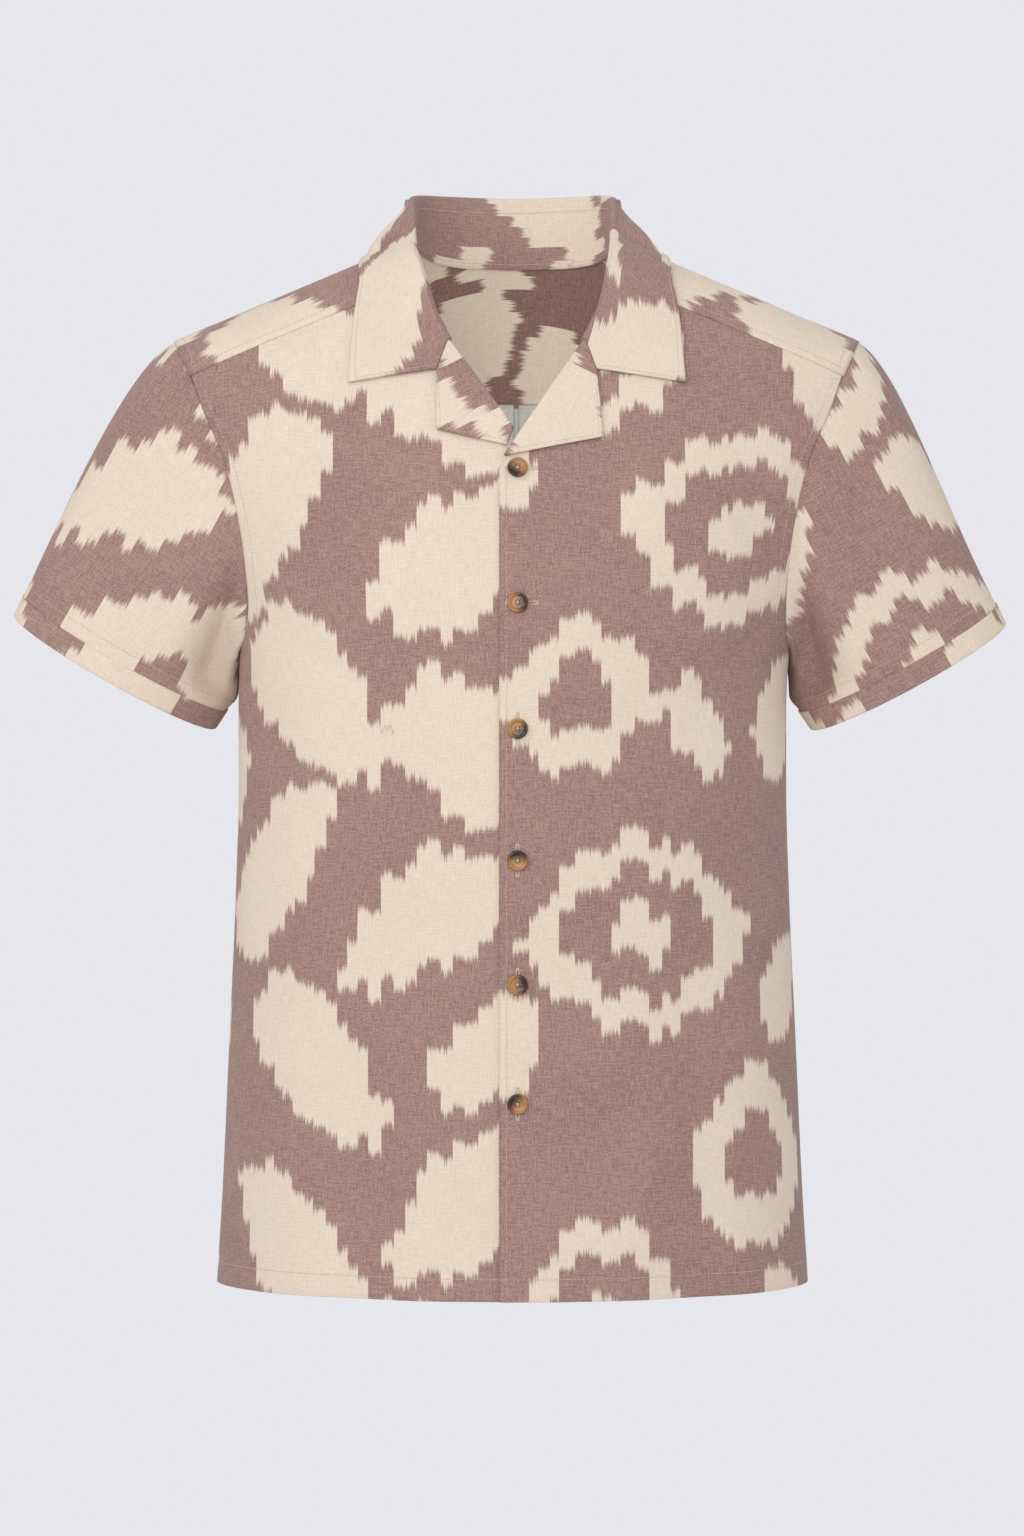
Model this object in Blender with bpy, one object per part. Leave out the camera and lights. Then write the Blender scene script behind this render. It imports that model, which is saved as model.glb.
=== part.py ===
"""Resort shirt with short sleeves and a camp collar, in its worn, hollow form.

Metres, +Z up. The front faces -Y and the wearer's left side is +X. The origin lies between the
two high points of the shoulders, where the wearer's shoulders carry the shirt. Every cloth piece is
one wall, laid out on a smooth form from a few short tables, and the pieces keep a small gap at seams.
"""

from bisect import bisect
from math import asin, copysign, cos, pi, radians, sin, sqrt

import bmesh
import bpy
from mathutils import Vector

# Lengths below are in millimetres. They become metres where a mesh is written.
MM = 0.001

CLOTH_WALL = 1.2
COLLAR_WALL = 1.6
CUFF_WALL = 2.0
SEAM_GAP = 0.36
LAYER_PITCH = 1.6
LINING_DROP = 2.0
LINING_INSET = 3.6

HEM_Z = -716.0
ARMPIT_Z = -283.0
SHOULDER_RISE = 2.37
NECK_HALF_WIDTH = 70.4
NECK_ROUND = 60.0
YOKE_FRONT_DROP = 33.0
YOKE_FRONT_Z = (NECK_HALF_WIDTH - 222.0) / SHOULDER_RISE - YOKE_FRONT_DROP
YOKE_BACK_Z = -106.0

LEFT_EDGE_X = -11.6
RIGHT_EDGE_X = -14.0
OVERLAP_LIFT = 0.9
LAPEL_LIFT = 3.0
COLLAR_LIFT = 3.0

PLEAT_HALF_TOP = 18.0
PLEAT_HALF_HEM = 12.0
PLEAT_SLIT = 2.8

CUFF_DEPTH = 15.0
SLEEVE_HALF_DEPTH = 46.0
SLEEVE_CENTRE_Y = 5.0
SLEEVE_FRONT_DROP = 7.5

BUTTON_RADIUS = 6.75
BUTTON_THICK = 3.0
BUTTON_X = 0.6
BUTTON_HEIGHTS = (-164.0, -254.0, -337.0, -424.0, -506.0, -585.0)

# The form: z, half width, depth in front, depth at the back, power of the section.
FORM = (
    (29.7, 0.0, 42.0, 55.0, 2.0),
    (0.0, 70.4, 46.0, 60.0, 2.0),
    (-32.0, 146.2, 56.0, 79.0, 2.0),
    (-55.0, 200.7, 64.5, 89.0, 2.0),
    (-70.0, 236.3, 71.5, 95.5, 2.0),
    (-85.0, 262.0, 78.5, 100.0, 2.0),
    (-110.0, 255.0, 90.0, 106.0, 2.0),
    (-150.0, 236.0, 104.5, 113.0, 2.0),
    (-185.0, 220.5, 113.0, 116.5, 2.0),
    (-219.0, 207.5, 120.0, 117.0, 2.0),
    (-253.0, 196.0, 125.0, 116.5, 2.0),
    (-275.0, 190.4, 127.0, 115.5, 2.0),
    (-283.0, 188.9, 127.3, 115.0, 2.0),
    (-300.0, 188.2, 127.6, 114.0, 2.0),
    (-370.0, 188.0, 127.5, 111.5, 2.0),
    (-450.0, 190.0, 126.5, 110.0, 1.97),
    (-550.0, 194.5, 125.0, 111.0, 1.93),
    (-650.0, 199.0, 125.0, 113.5, 1.9),
    (-716.0, 203.0, 125.0, 115.0, 1.9),
)

# The armhole: z, x on the front panel, x on the back panel.
ARMHOLE = (
    (-97.0, 222.0, 228.5),
    (-106.0, 218.0, 226.0),
    (-127.0, 209.5, 219.0),
    (-151.0, 199.0, 211.0),
    (-185.0, 190.0, 202.0),
    (-219.0, 184.5, 195.0),
    (-253.0, 182.0, 190.0),
    (-275.0, 184.5, 187.6),
    (-283.0, 188.9, 188.9),
)

# The neck edge from the centre back: share of its length, x, root of the drop below the shoulder
# line. The root is positive at the back and negative in front.
NECK = (
    (0.0, 0.0, 5.18),
    (0.14, 31.0, 4.8),
    (0.28, 60.0, 3.25),
    (0.48, 73.5, 0.0),
    (0.63, 76.0, -3.0),
    (0.75, 72.0, -5.745),
    (0.875, 62.0, -7.65),
    (1.0, 46.5, -9.28),
)
NECK_CORNER = 0.75
NECK_TURN = 0.42
YOKE_TURN = 0.4375

# The collar from the centre back: share of the neck edge, then the top of the roll, a point a third
# of the way down the fall, and the outer edge, each as x, y, z. From the shoulder forward the fall
# lies on the front, so its y is worked out from the form.
COLLAR = (
    (0.0, (0.0, 66.0, 38.2), (0.0, 75.5, 18.0), (0.0, 84.0, -30.0)),
    (0.16, (36.0, 60.0, 37.2), (41.0, 69.0, 18.0), (45.0, 79.0, -30.0)),
    (0.28, (56.5, 47.0, 35.5), (66.0, 52.0, 18.5), (80.0, 64.0, -26.0)),
    (0.34, (64.5, 35.0, 34.3), (74.0, 40.0, 19.0), (92.5, 42.0, -19.0)),
    (0.4, (69.2, 18.0, 30.0), (79.5, 21.0, 14.5), (98.5, 16.0, -12.5)),
    (0.48, (69.2, -2.0, 18.5), (83.0, -3.0, 8.0), (102.0, -8.0, -17.0)),
    (0.56, (67.4, -20.0, 2.0), (80.5, -24.0, -12.0), (105.0, -28.0, -33.0)),
    (0.63, (65.2, -31.0, -11.0), (78.5, -35.0, -27.0), (108.0, -42.0, -48.0)),
    (0.75, (60.2, -45.9, -32.5), (74.0, -49.0, -46.5), (110.5, -55.0, -69.0)),
    (0.875, (54.7, -58.6, -52.5), (66.0, -63.0, -70.0), (112.0, -66.0, -89.0)),
    (1.0, (43.9, -73.2, -74.8), (53.4, -84.0, -97.0), (113.0, -74.0, -105.5)),
)
COLLAR_REST = (0.5, 0.58)
COLLAR_LEAN = -2.6
ROLL_RADIUS = 2.4

# The roll line of each front below the collar, as x, z on its own side of the shirt.
ROLL_LEFT = ((46.5, -76.0), (19.7, -116.0), (-7.0, -156.0))
ROLL_RIGHT = ((46.5, -76.0), (3.5, -136.0), (8.0, -148.0))
ROLL_KNEE = {"left": 0.5, "right": 0.8}
NOTCH = (53.4, -97.0)
LAPEL_CORNER = {"left": (57.6, -143.0), "right": (53.3, -138.0)}
GORGE_TRIM = 0.95

# Corners of each sleeve hem seen from the front: the outer x, z and the inner x, z.
SLEEVE_HEM = {
    "left": ((336.9, -263.0), (204.1, -336.1)),
    "right": ((345.9, -257.0), (208.6, -335.4)),
}

# Soft folds of the body below the chest: side, x, half width, height; positive stands out.
BODY_FOLDS = (
    (-1, 158.0, 20.0, 2.6),
    (-1, 118.0, 24.0, -2.4),
    (-1, 78.0, 26.0, 1.6),
    (-1, -152.0, 22.0, 2.8),
    (-1, -106.0, 26.0, -2.2),
    (-1, -64.0, 22.0, 1.3),
    (1, 150.0, 22.0, 3.0),
    (1, 104.0, 26.0, -2.6),
    (1, 60.0, 20.0, 1.6),
    (1, -146.0, 24.0, 2.6),
    (1, -98.0, 24.0, -2.8),
    (1, -56.0, 20.0, 1.8),
)
FOLD_TOP_Z = -330.0

# Rows of the panels between seams.
NECK_ROW = 4
BREAK_ROW = 9
EDGE_ROW = 10
PIT_ROW = 13
FRONT_ROWS = 24
BACK_PIT_ROW = 9
BACK_ROWS = 18
ARMHOLE_SPREAD = 1.6

FRONT_COLUMNS = 14
BACK_COLUMNS = 40
YOKE_COLUMNS = 32
YOKE_ROWS = 7
RING_STEPS = 31
BACK_CORNER = 22
SLEEVE_ROWS = 10
COLLAR_COLUMNS = 48
TURN_COLUMN = 7
CORNER_COLUMN = 16
COLLAR_ROWS = 10
LAPEL_COLUMNS = 9
LAPEL_ROWS = 10


class Curve:
    """A smooth run through a short table that never overshoots its values."""

    def __init__(self, keys, values):
        pairs = sorted(zip(keys, values))
        self.keys = [key for key, value in pairs]
        self.values = [value for key, value in pairs]
        spans = range(len(pairs) - 1)
        rises = [(self.values[i + 1] - self.values[i]) / (self.keys[i + 1] - self.keys[i]) for i in spans]
        inner = [2 * a * b / (a + b) if a * b > 0 else 0.0 for a, b in zip(rises, rises[1:])]
        self.slopes = [rises[0]] + inner + [rises[-1]]

    def __call__(self, key):
        key = min(max(key, self.keys[0]), self.keys[-1])
        i = min(bisect(self.keys, key), len(self.keys) - 1) - 1
        span = self.keys[i + 1] - self.keys[i]
        t = (key - self.keys[i]) / span
        start = (1 + 2 * t) * (1 - t) ** 2 * self.values[i] + t * (1 - t) ** 2 * span * self.slopes[i]
        end = t * t * (3 - 2 * t) * self.values[i + 1] + t * t * (t - 1) * span * self.slopes[i + 1]
        return start + end


def table_curves(table, columns):
    keys = [row[0] for row in table]
    return [Curve(keys, [row[column] for row in table]) for column in range(1, columns + 1)]


def mirrored_curves(rows):
    """Curves of the columns after the first, made even about a key of 0 with the second one odd."""
    keys = [-rows[1][0]] + [row[0] for row in rows]
    signs = [0, -1] + [1] * (len(rows[0]) - 2)
    return [Curve(keys, [signs[i] * rows[1][i]] + [row[i] for row in rows]) for i in range(1, len(signs))]


HALF_WIDTH, DEPTH_FRONT, DEPTH_BACK, POWER = table_curves(FORM, 4)
ARMHOLE_FRONT, ARMHOLE_BACK = table_curves(ARMHOLE, 2)
NECK_X, NECK_ROOT = mirrored_curves(NECK)


def smooth(low, high, value):
    t = min(max((value - low) / (high - low), 0.0), 1.0)
    return t * t * (3 - 2 * t)


def mix(a, b, t):
    return a + (b - a) * t


def half_width(z):
    return max(HALF_WIDTH(z), 1.0)


def ridge_z(x):
    """Height of the shoulder line at a distance from the centre, rounded across the neck."""
    away = abs(x)
    if away < NECK_ROUND:
        away = (NECK_ROUND + x * x / NECK_ROUND) / 2
    return (NECK_HALF_WIDTH - away) / SHOULDER_RISE


def lean(x, z):
    """The worn shirt hangs a little to one side below the chest."""
    return -2.8 * smooth(-250.0, -320.0, z) * min(1.0, abs(x) / half_width(z)) ** 2


def on_form(x, z, side):
    """Point of the form at x and z, on its front (side -1) or its back (side 1)."""
    power = POWER(z)
    depth = DEPTH_FRONT(z) if side < 0 else DEPTH_BACK(z)
    share = min(1.0, abs(x) / half_width(z))
    y = side * depth * (1 - share ** power) ** (1 / power)
    return Vector((x + lean(x, z), y, z))


def level(point):
    """Zero on the form and positive outside it."""
    power = POWER(point.z)
    depth = DEPTH_FRONT(point.z) if point.y < 0 else DEPTH_BACK(point.z)
    x = point.x - lean(point.x, point.z)
    width = abs(x) / half_width(point.z)
    return (width ** power + abs(point.y / depth) ** power) ** (1 / power) - 1


def gradient(point):
    step = 0.25
    parts = []
    for axis in range(3):
        offset = Vector((0, 0, 0))
        offset[axis] = step
        parts.append((level(point + offset) - level(point - offset)) / (2 * step))
    return Vector(parts)


def outward(point):
    return gradient(point).normalized()


def lift(point, height):
    return point + outward(point) * height


def keep_clear(point, height):
    """Push a point out until it lies at least this far outside the form."""
    for _ in range(3):
        slope = gradient(point)
        short = height - level(point) / slope.length
        if short > 0:
            point = point + slope.normalized() * short
    return point


def body_fold(x, z, side):
    """Height of the soft folds, none at the chest and full at the hem."""
    total = 0.0
    for fold_side, centre, half, height in BODY_FOLDS:
        if fold_side == side:
            total += height * 2.718 ** (-((x - centre) / half) ** 2)
    return total * smooth(FOLD_TOP_Z, HEM_Z, z)


def on_shoulder(x, root):
    """Point of the form by its drop below the shoulder line, given as a signed root."""
    return on_form(x, ridge_z(x) - root * root, copysign(1, root))


def yoke_edges(share):
    """Neck end and outer end of one line across the yoke, each as x and signed root.

    The share runs from the centre back to the front seam. Its first part faces the back seam and the
    rest faces the armhole.
    """
    if share <= YOKE_TURN:
        part = share / YOKE_TURN
        at = NECK_TURN * part
        x = 226.0 * part
        return NECK_X(at), NECK_ROOT(at), x, sqrt(ridge_z(x) - YOKE_BACK_Z)
    part = (share - YOKE_TURN) / (1 - YOKE_TURN)
    at = mix(NECK_TURN, NECK_CORNER, part)
    return NECK_X(at), NECK_ROOT(at), *yoke_armhole(part)


def yoke_armhole(part):
    """The armhole edge of the yoke from its back seam (0) over the shoulder to its front seam (1)."""
    behind, before = sqrt(ridge_z(226.0) - YOKE_BACK_Z), -sqrt(YOKE_FRONT_DROP)
    root = mix(behind, before, part)
    bulge = 12.1 * (1 - root / behind) * (1 - root / before)
    return mix(226.0, 222.0, part) + bulge, root


def yoke_point(around, out):
    """The yoke from the right front seam (-1) to the left one (1), and from the neck (0) out (1)."""
    neck_x, neck_root, outer_edge, outer_root = yoke_edges(abs(around))
    x = mix(neck_x, outer_edge, out)
    return on_shoulder(copysign(x, around), mix(neck_root, outer_root, out))


def lining_point(around, out):
    """The inner yoke, one layer in, cut back from the neck where the collar stand sits."""
    around = min(max(around, -0.996), 0.996)
    length = (yoke_point(around, 1.0) - yoke_point(around, 0.0)).length
    out = min(max(out, LINING_INSET / length), 1.0 - 0.4 / length)
    return lift(yoke_point(around, out), -LINING_DROP)


def along_roll(points, knee, t):
    """A place on a roll line whose middle point lies at the share called knee."""
    first, middle, last = points
    start, end, part = (first, middle, t / knee) if t < knee else (middle, last, (t - knee) / (1 - knee))
    return mix(start[0], end[0], part), mix(start[1], end[1], part)


def front_inner(row, hand):
    """Inner boundary of a front, as x and z: the neck edge, the roll line and the front edge."""
    edge_x = LEFT_EDGE_X if hand == "left" else RIGHT_EDGE_X
    roll = ROLL_LEFT if hand == "left" else ROLL_RIGHT
    if row <= NECK_ROW:
        share = mix(NECK_CORNER, 1.0, row / NECK_ROW)
        x = NECK_X(share)
        return x, ridge_z(x) - NECK_ROOT(share) ** 2
    if row <= BREAK_ROW:
        return along_roll(roll, ROLL_KNEE[hand], (row - NECK_ROW) / (BREAK_ROW - NECK_ROW))
    if row <= EDGE_ROW:
        return mix(roll[2][0], edge_x, row - BREAK_ROW), mix(roll[2][1], -165.0, row - BREAK_ROW)
    return edge_x, mix(-165.0, HEM_Z, (row - EDGE_ROW) / (FRONT_ROWS - EDGE_ROW))


def outer_z(row, pit_row, rows, top_z):
    if row <= pit_row:
        return ARMPIT_Z + (top_z - ARMPIT_Z) * ((pit_row - row) / pit_row) ** ARMHOLE_SPREAD
    return mix(ARMPIT_Z, HEM_Z, (row - pit_row) / (rows - pit_row))


def outer_x(z, side):
    if z <= ARMPIT_Z:
        return half_width(z)
    return ARMHOLE_FRONT(z) if side < 0 else ARMHOLE_BACK(z)


def spread(share, inner_x, outer, widest):
    """Columns close up toward the side, where the section turns away."""
    turn = asin(min(1.0, outer / widest))
    return inner_x + (outer - inner_x) * sin(share * turn) / sin(turn)


def front_point(share, row, hand, height=0.0):
    """A front panel from its inner boundary (0) to the armhole and side seam (1)."""
    side_x = 1 if hand == "left" else -1
    in_x, in_z = front_inner(row, hand)
    out_z = outer_z(row, PIT_ROW, FRONT_ROWS, YOKE_FRONT_Z)
    out_x = outer_x(out_z, -1)
    x = spread(share, in_x, out_x, half_width(out_z))
    z = mix(in_z, out_z, (x - in_x) / (out_x - in_x)) - SEAM_GAP * 1.1 * max(0.0, 1 - row)
    return on_front(x * side_x, z, hand, height)


def on_front(x, z, hand, height=0.0):
    """A point of one front: the left one laps over the right one down the centre."""
    own_x = x if hand == "left" else -x
    lap = OVERLAP_LIFT if hand == "left" else -OVERLAP_LIFT
    lap *= 1 - smooth(22.0, 60.0, own_x)
    point = on_form(x, z, -1)
    point.y -= SEAM_GAP / 2
    return lift(point, height + lap + body_fold(x, z, -1))


def back_half(share, row):
    """Half of the back: side (0) to centre (1), as x, its layer height, and z."""
    in_z = mix(YOKE_BACK_Z, -281.0, row / BACK_PIT_ROW)
    if row > BACK_PIT_ROW:
        in_z = mix(-281.0, HEM_Z, (row - BACK_PIT_ROW) / (BACK_ROWS - BACK_PIT_ROW))
    out_z = outer_z(row, BACK_PIT_ROW, BACK_ROWS, YOKE_BACK_Z)
    out_x = outer_x(out_z, 1)
    pleat = mix(PLEAT_HALF_TOP, PLEAT_HALF_HEM, row / BACK_ROWS)
    radius = LAYER_PITCH / 2
    if share <= 0.45:
        x = spread(1 - share / 0.45, PLEAT_SLIT, out_x, half_width(out_z))
        height = -1.5 * LAYER_PITCH * (1 - smooth(25.0, 75.0, x))
    elif share <= 0.65:
        turn = pi * (share - 0.45) / 0.2
        x = PLEAT_SLIT - radius * sin(turn)
        height = -2 * radius - radius * cos(turn)
    elif share <= 0.7:
        x = mix(PLEAT_SLIT, pleat, (share - 0.65) / 0.05)
        height = -radius
    elif share <= 0.9:
        turn = pi * (share - 0.7) / 0.2
        x = pleat + radius * sin(turn)
        height = -radius * cos(turn)
    else:
        x = pleat * (1 - (share - 0.9) / 0.1)
        height = radius
    return x, height, mix(in_z, out_z, x / out_x)


def back_point(across, row):
    """The back from wearer's right (-1) to left (1), with its box pleat folded at the centre."""
    x, height, z = back_half(1 - abs(across), row)
    x = copysign(x, across)
    z -= SEAM_GAP * 1.1 * max(0.0, 1 - row)
    point = on_form(x, z, 1)
    point.y += SEAM_GAP / 2
    return lift(point, height + body_fold(x, z, 1))


def armhole_point(step, hand):
    """Round the armhole from the front yoke seam over the front, the armpit, the back and the yoke."""
    side_x = 1 if hand == "left" else -1
    if step <= PIT_ROW:
        z = outer_z(step, PIT_ROW, FRONT_ROWS, YOKE_FRONT_Z)
        return on_form(side_x * outer_x(z, -1), z, -1)
    if step <= BACK_CORNER:
        z = outer_z(BACK_CORNER - step, BACK_PIT_ROW, BACK_ROWS, YOKE_BACK_Z)
        return on_form(side_x * outer_x(z, 1), z, 1)
    x, root = yoke_armhole((step - BACK_CORNER) / (RING_STEPS - BACK_CORNER))
    return on_shoulder(side_x * x, root)


def armhole_angles(hand):
    """Angle round the sleeve at each armhole step: pi under the arm and 2 pi on the shoulder line."""
    points = [armhole_point(step, hand) for step in range(RING_STEPS + 1)]
    lengths = [0.0]
    for first, second in zip(points, points[1:]):
        lengths.append(lengths[-1] + (second - first).length)
    length_at = Curve(range(RING_STEPS + 1), lengths)
    behind = sqrt(ridge_z(226.0) - YOKE_BACK_Z)
    top_step = mix(BACK_CORNER, RING_STEPS, behind / (behind + sqrt(YOKE_FRONT_DROP)))
    pit, top = lengths[PIT_ROW], length_at(top_step)
    front_length = lengths[-1] - top + pit
    angles = []
    for length in lengths:
        if length < pit:
            angles.append(pi * (lengths[-1] - top + length) / front_length)
        elif length < top:
            angles.append(pi + pi * (length - pit) / (top - pit))
        else:
            angles.append(2 * pi + pi * (length - top) / front_length)
    return Curve(range(RING_STEPS + 1), angles)


ARM_ANGLE = {hand: armhole_angles(hand) for hand in ("left", "right")}


def sleeve_end(angle, hand):
    """A point of the sleeve's hem and the direction in which the cloth arrives there."""
    side_x = 1 if hand == "left" else -1
    (out_x, out_z), (in_x, in_z) = SLEEVE_HEM[hand]
    outer = Vector((side_x * out_x, SLEEVE_CENTRE_Y, out_z))
    inner = Vector((side_x * in_x, SLEEVE_CENTRE_Y, in_z))
    half = (outer - inner) / 2
    axis = Vector((-half.z, 0, half.x)).normalized() * -side_x
    front = Vector((0, -SLEEVE_HALF_DEPTH, 0)) + axis * SLEEVE_FRONT_DROP
    point = (outer + inner) / 2 + half * cos(angle) + front * sin(angle)
    slant = radians(29.2 - 4.4 * cos(angle))
    arrive = Vector((side_x * sin(slant), 0.07 * sin(angle), -cos(slant))).normalized()
    return point, arrive


def sleeve_point(step, along, hand):
    """The sleeve from the armhole (0) to the seam of its cuff band (1)."""
    side_x = 1 if hand == "left" else -1
    angle = ARM_ANGLE[hand](step)
    under = (1 - cos(angle)) / 2
    start = armhole_point(step, hand)
    tilt = radians(mix(24.0, 40.0, sin(pi * under)) + 6.0 * under ** 6)
    leave = Vector((side_x * cos(tilt), -0.12 * sin(angle), -sin(tilt))).normalized()
    start = start + leave * (SEAM_GAP + 0.1 + 0.95 * abs(leave.dot(outward(start))) + 0.5 * under ** 8)
    hem, arrive = sleeve_end(angle, hand)
    end = hem - arrive * (CUFF_DEPTH + SEAM_GAP)
    chord = (end - start).length
    first = start + leave * chord * mix(0.19, 0.24, under)
    second = end - arrive * chord * 0.3
    t = along
    s = 1 - t
    point = start * s ** 3 + first * 3 * t * s * s + second * 3 * t * t * s + end * t ** 3
    fold = 3.2 * sin(angle) * abs(sin(angle)) * sin(pi * min(1.0, t * 1.15)) * (1 - cos(angle)) / 2
    return point + Vector((side_x * 0.35, -0.9, 0)) * -fold * 0.6


def cuff_point(step, along, hand):
    """The band turned up round the sleeve's end."""
    side_x = 1 if hand == "left" else -1
    angle = ARM_ANGLE[hand](step)
    hem, arrive = sleeve_end(angle, hand)
    inside = Vector((side_x * cos(angle) * 0.88, -sin(angle), cos(angle) * 0.48)).normalized()
    return hem - arrive * CUFF_DEPTH * (1 - along) + inside * 0.4


COLLAR_ROLL, COLLAR_MID, COLLAR_EDGE = (
    mirrored_curves([(row[0], *row[part]) for row in COLLAR]) for part in (1, 2, 3)
)


def collar_column(share):
    """The named points of one section of the collar, on the wearer's left."""
    neck, before, after = (on_shoulder(NECK_X(at), NECK_ROOT(at)) for at in
                           (share, share - 0.01, min(share + 0.01, 1.0)))
    roll, mid, edge = (Vector([curve(share) for curve in part]) for part in
                       (COLLAR_ROLL, COLLAR_MID, COLLAR_EDGE))
    up = (roll - neck).normalized()
    out = up.cross(after - before).normalized()
    rest = smooth(COLLAR_REST[0], COLLAR_REST[1], share)
    for point in (mid, edge):
        point.y = mix(point.y, on_form(point.x, point.z, -1).y, rest)
    foot = neck - out * (CLOTH_WALL / 2 + COLLAR_WALL / 2 + 1.1) - up * 1.2
    return foot, roll, mid, edge, out, up


def collar_share(across):
    """Columns of the collar line up with those of the yoke and with the rows of the fronts."""
    column = across * COLLAR_COLUMNS / 2
    if column <= TURN_COLUMN:
        return NECK_TURN * column / TURN_COLUMN
    if column <= CORNER_COLUMN:
        return mix(NECK_TURN, NECK_CORNER, (column - TURN_COLUMN) / (CORNER_COLUMN - TURN_COLUMN))
    return mix(NECK_CORNER, 0.995, (column - CORNER_COLUMN) / (COLLAR_COLUMNS / 2 - CORNER_COLUMN))


def collar_point(across, down):
    """The collar from wearer's right (-1) to left (1), from the neck seam (0) to its edge (1).

    Above the shoulders it sits a little to the wearer's right.
    """
    share = collar_share(abs(across))
    foot, roll, mid, edge, out, up = collar_column(share)
    centre = roll - up * ROLL_RADIUS
    if down <= 0.2:
        point = foot.lerp(centre - out * ROLL_RADIUS, down / 0.2)
    elif down <= 0.5:
        turn = pi * (down - 0.2) / 0.3
        point = centre + (up * sin(turn) - out * cos(turn)) * ROLL_RADIUS
    elif down <= 0.7:
        point = (centre + out * ROLL_RADIUS).lerp(lift(mid, COLLAR_LIFT), (down - 0.5) / 0.2)
    else:
        point = lift(mid, COLLAR_LIFT).lerp(lift(edge, COLLAR_LIFT), (down - 0.7) / 0.3)
    side_x = copysign(1.0, across)
    point.x += side_x * COLLAR_LEAN * smooth(-50.0, 10.0, point.z) * smooth(0.0, 0.2, down)
    if down > 0.5:
        point = keep_clear(point, COLLAR_LIFT)
    return Vector((side_x * point.x, point.y, point.z))


def lapel_point(across, down, hand):
    """A lapel from its roll line (0) to its free edge (1) and from the gorge seam (0) down."""
    side_x = 1 if hand == "left" else -1
    row = mix(NECK_ROW, BREAK_ROW, down)
    radius = LAPEL_LIFT / 2
    roll_x, roll_z = front_inner(row, hand)
    edge_x = mix(NOTCH[0], LAPEL_CORNER[hand][0], down)
    edge_z = mix(NOTCH[1], LAPEL_CORNER[hand][1], down)
    trim = GORGE_TRIM * (1 - smooth(0.0, 0.15, down))
    roll_x -= trim
    edge_x -= trim
    if across >= 1 / 3:
        part = (across - 1 / 3) * 1.5
        x = mix(roll_x, edge_x, part)
        z = mix(roll_z, edge_z, part)
        return on_front(x * side_x, z, hand, LAPEL_LIFT)
    start = on_front(roll_x * side_x, roll_z, hand)
    nearby = [front_inner(max(row - 0.1, NECK_ROW), hand), front_inner(min(row + 0.1, BREAK_ROW), hand)]
    before, after = (on_front(x * side_x, z, hand) for x, z in nearby)
    out = outward(start)
    inward = (after - before).cross(out).normalized() * side_x
    turn = pi * across * 3
    sideways = radius * sin(turn) + SEAM_GAP * cos(turn / 2)
    return start + inward * sideways + out * (radius - radius * cos(turn))


def cloth_material(name, colour):
    material = bpy.data.materials.new(name)
    material.use_nodes = True
    shader = material.node_tree.nodes["Principled BSDF"]
    shader.inputs["Base Color"].default_value = (*colour, 1.0)
    shader.inputs["Roughness"].default_value = 0.85
    shader.inputs["Metallic"].default_value = 0.0
    return material


def wall(name, columns, rows, place, thickness, colour, ring=False):
    """A sheet of quads laid out by place(u, v), given a closed wall by a Solidify modifier."""
    mesh = bpy.data.meshes.new(name)
    sheet = bmesh.new()
    bmesh.ops.create_grid(sheet, x_segments=columns, y_segments=rows, size=0.5)
    for vertex in sheet.verts:
        vertex.co = place(vertex.co.x + 0.5, vertex.co.y + 0.5) * MM
    if ring:
        bmesh.ops.remove_doubles(sheet, verts=sheet.verts, dist=0.01 * MM)
    sheet.to_mesh(mesh)
    sheet.free()
    piece = bpy.data.objects.new(name, mesh)
    bpy.context.collection.objects.link(piece)
    mesh.materials.append(cloth_material(name + "_cloth", colour))
    solid = piece.modifiers.new("cloth_wall", "SOLIDIFY")
    solid.thickness = thickness * MM
    solid.offset = 0.0
    return piece


def make_body(colour):
    wall("back", BACK_COLUMNS, BACK_ROWS,
         lambda u, v: back_point(2 * u - 1, v * BACK_ROWS), CLOTH_WALL, colour)
    wall("yoke", YOKE_COLUMNS, YOKE_ROWS,
         lambda u, v: yoke_point(2 * u - 1, v), CLOTH_WALL, colour)
    wall("yoke_lining", YOKE_COLUMNS, YOKE_ROWS,
         lambda u, v: lining_point(2 * u - 1, v), CLOTH_WALL, colour)
    for hand in ("right", "left"):
        wall("front_" + hand, FRONT_COLUMNS, FRONT_ROWS,
             lambda u, v, hand=hand: front_point(u, v * FRONT_ROWS, hand), CLOTH_WALL, colour)


def make_sleeves(colour):
    for hand in ("right", "left"):
        wall("sleeve_" + hand, RING_STEPS, SLEEVE_ROWS,
             lambda u, v, hand=hand: sleeve_point(u * RING_STEPS, v, hand), CLOTH_WALL, colour, ring=True)
        wall("cuff_" + hand, RING_STEPS, 2,
             lambda u, v, hand=hand: cuff_point(u * RING_STEPS, v, hand), CUFF_WALL, colour, ring=True)


def make_collar(colour):
    wall("collar", COLLAR_COLUMNS, COLLAR_ROWS,
         lambda u, v: collar_point(2 * u - 1, v), COLLAR_WALL, colour)
    for hand in ("right", "left"):
        wall("lapel_" + hand, LAPEL_COLUMNS, LAPEL_ROWS,
             lambda u, v, hand=hand: lapel_point(u, v, hand), CLOTH_WALL, colour)


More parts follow.
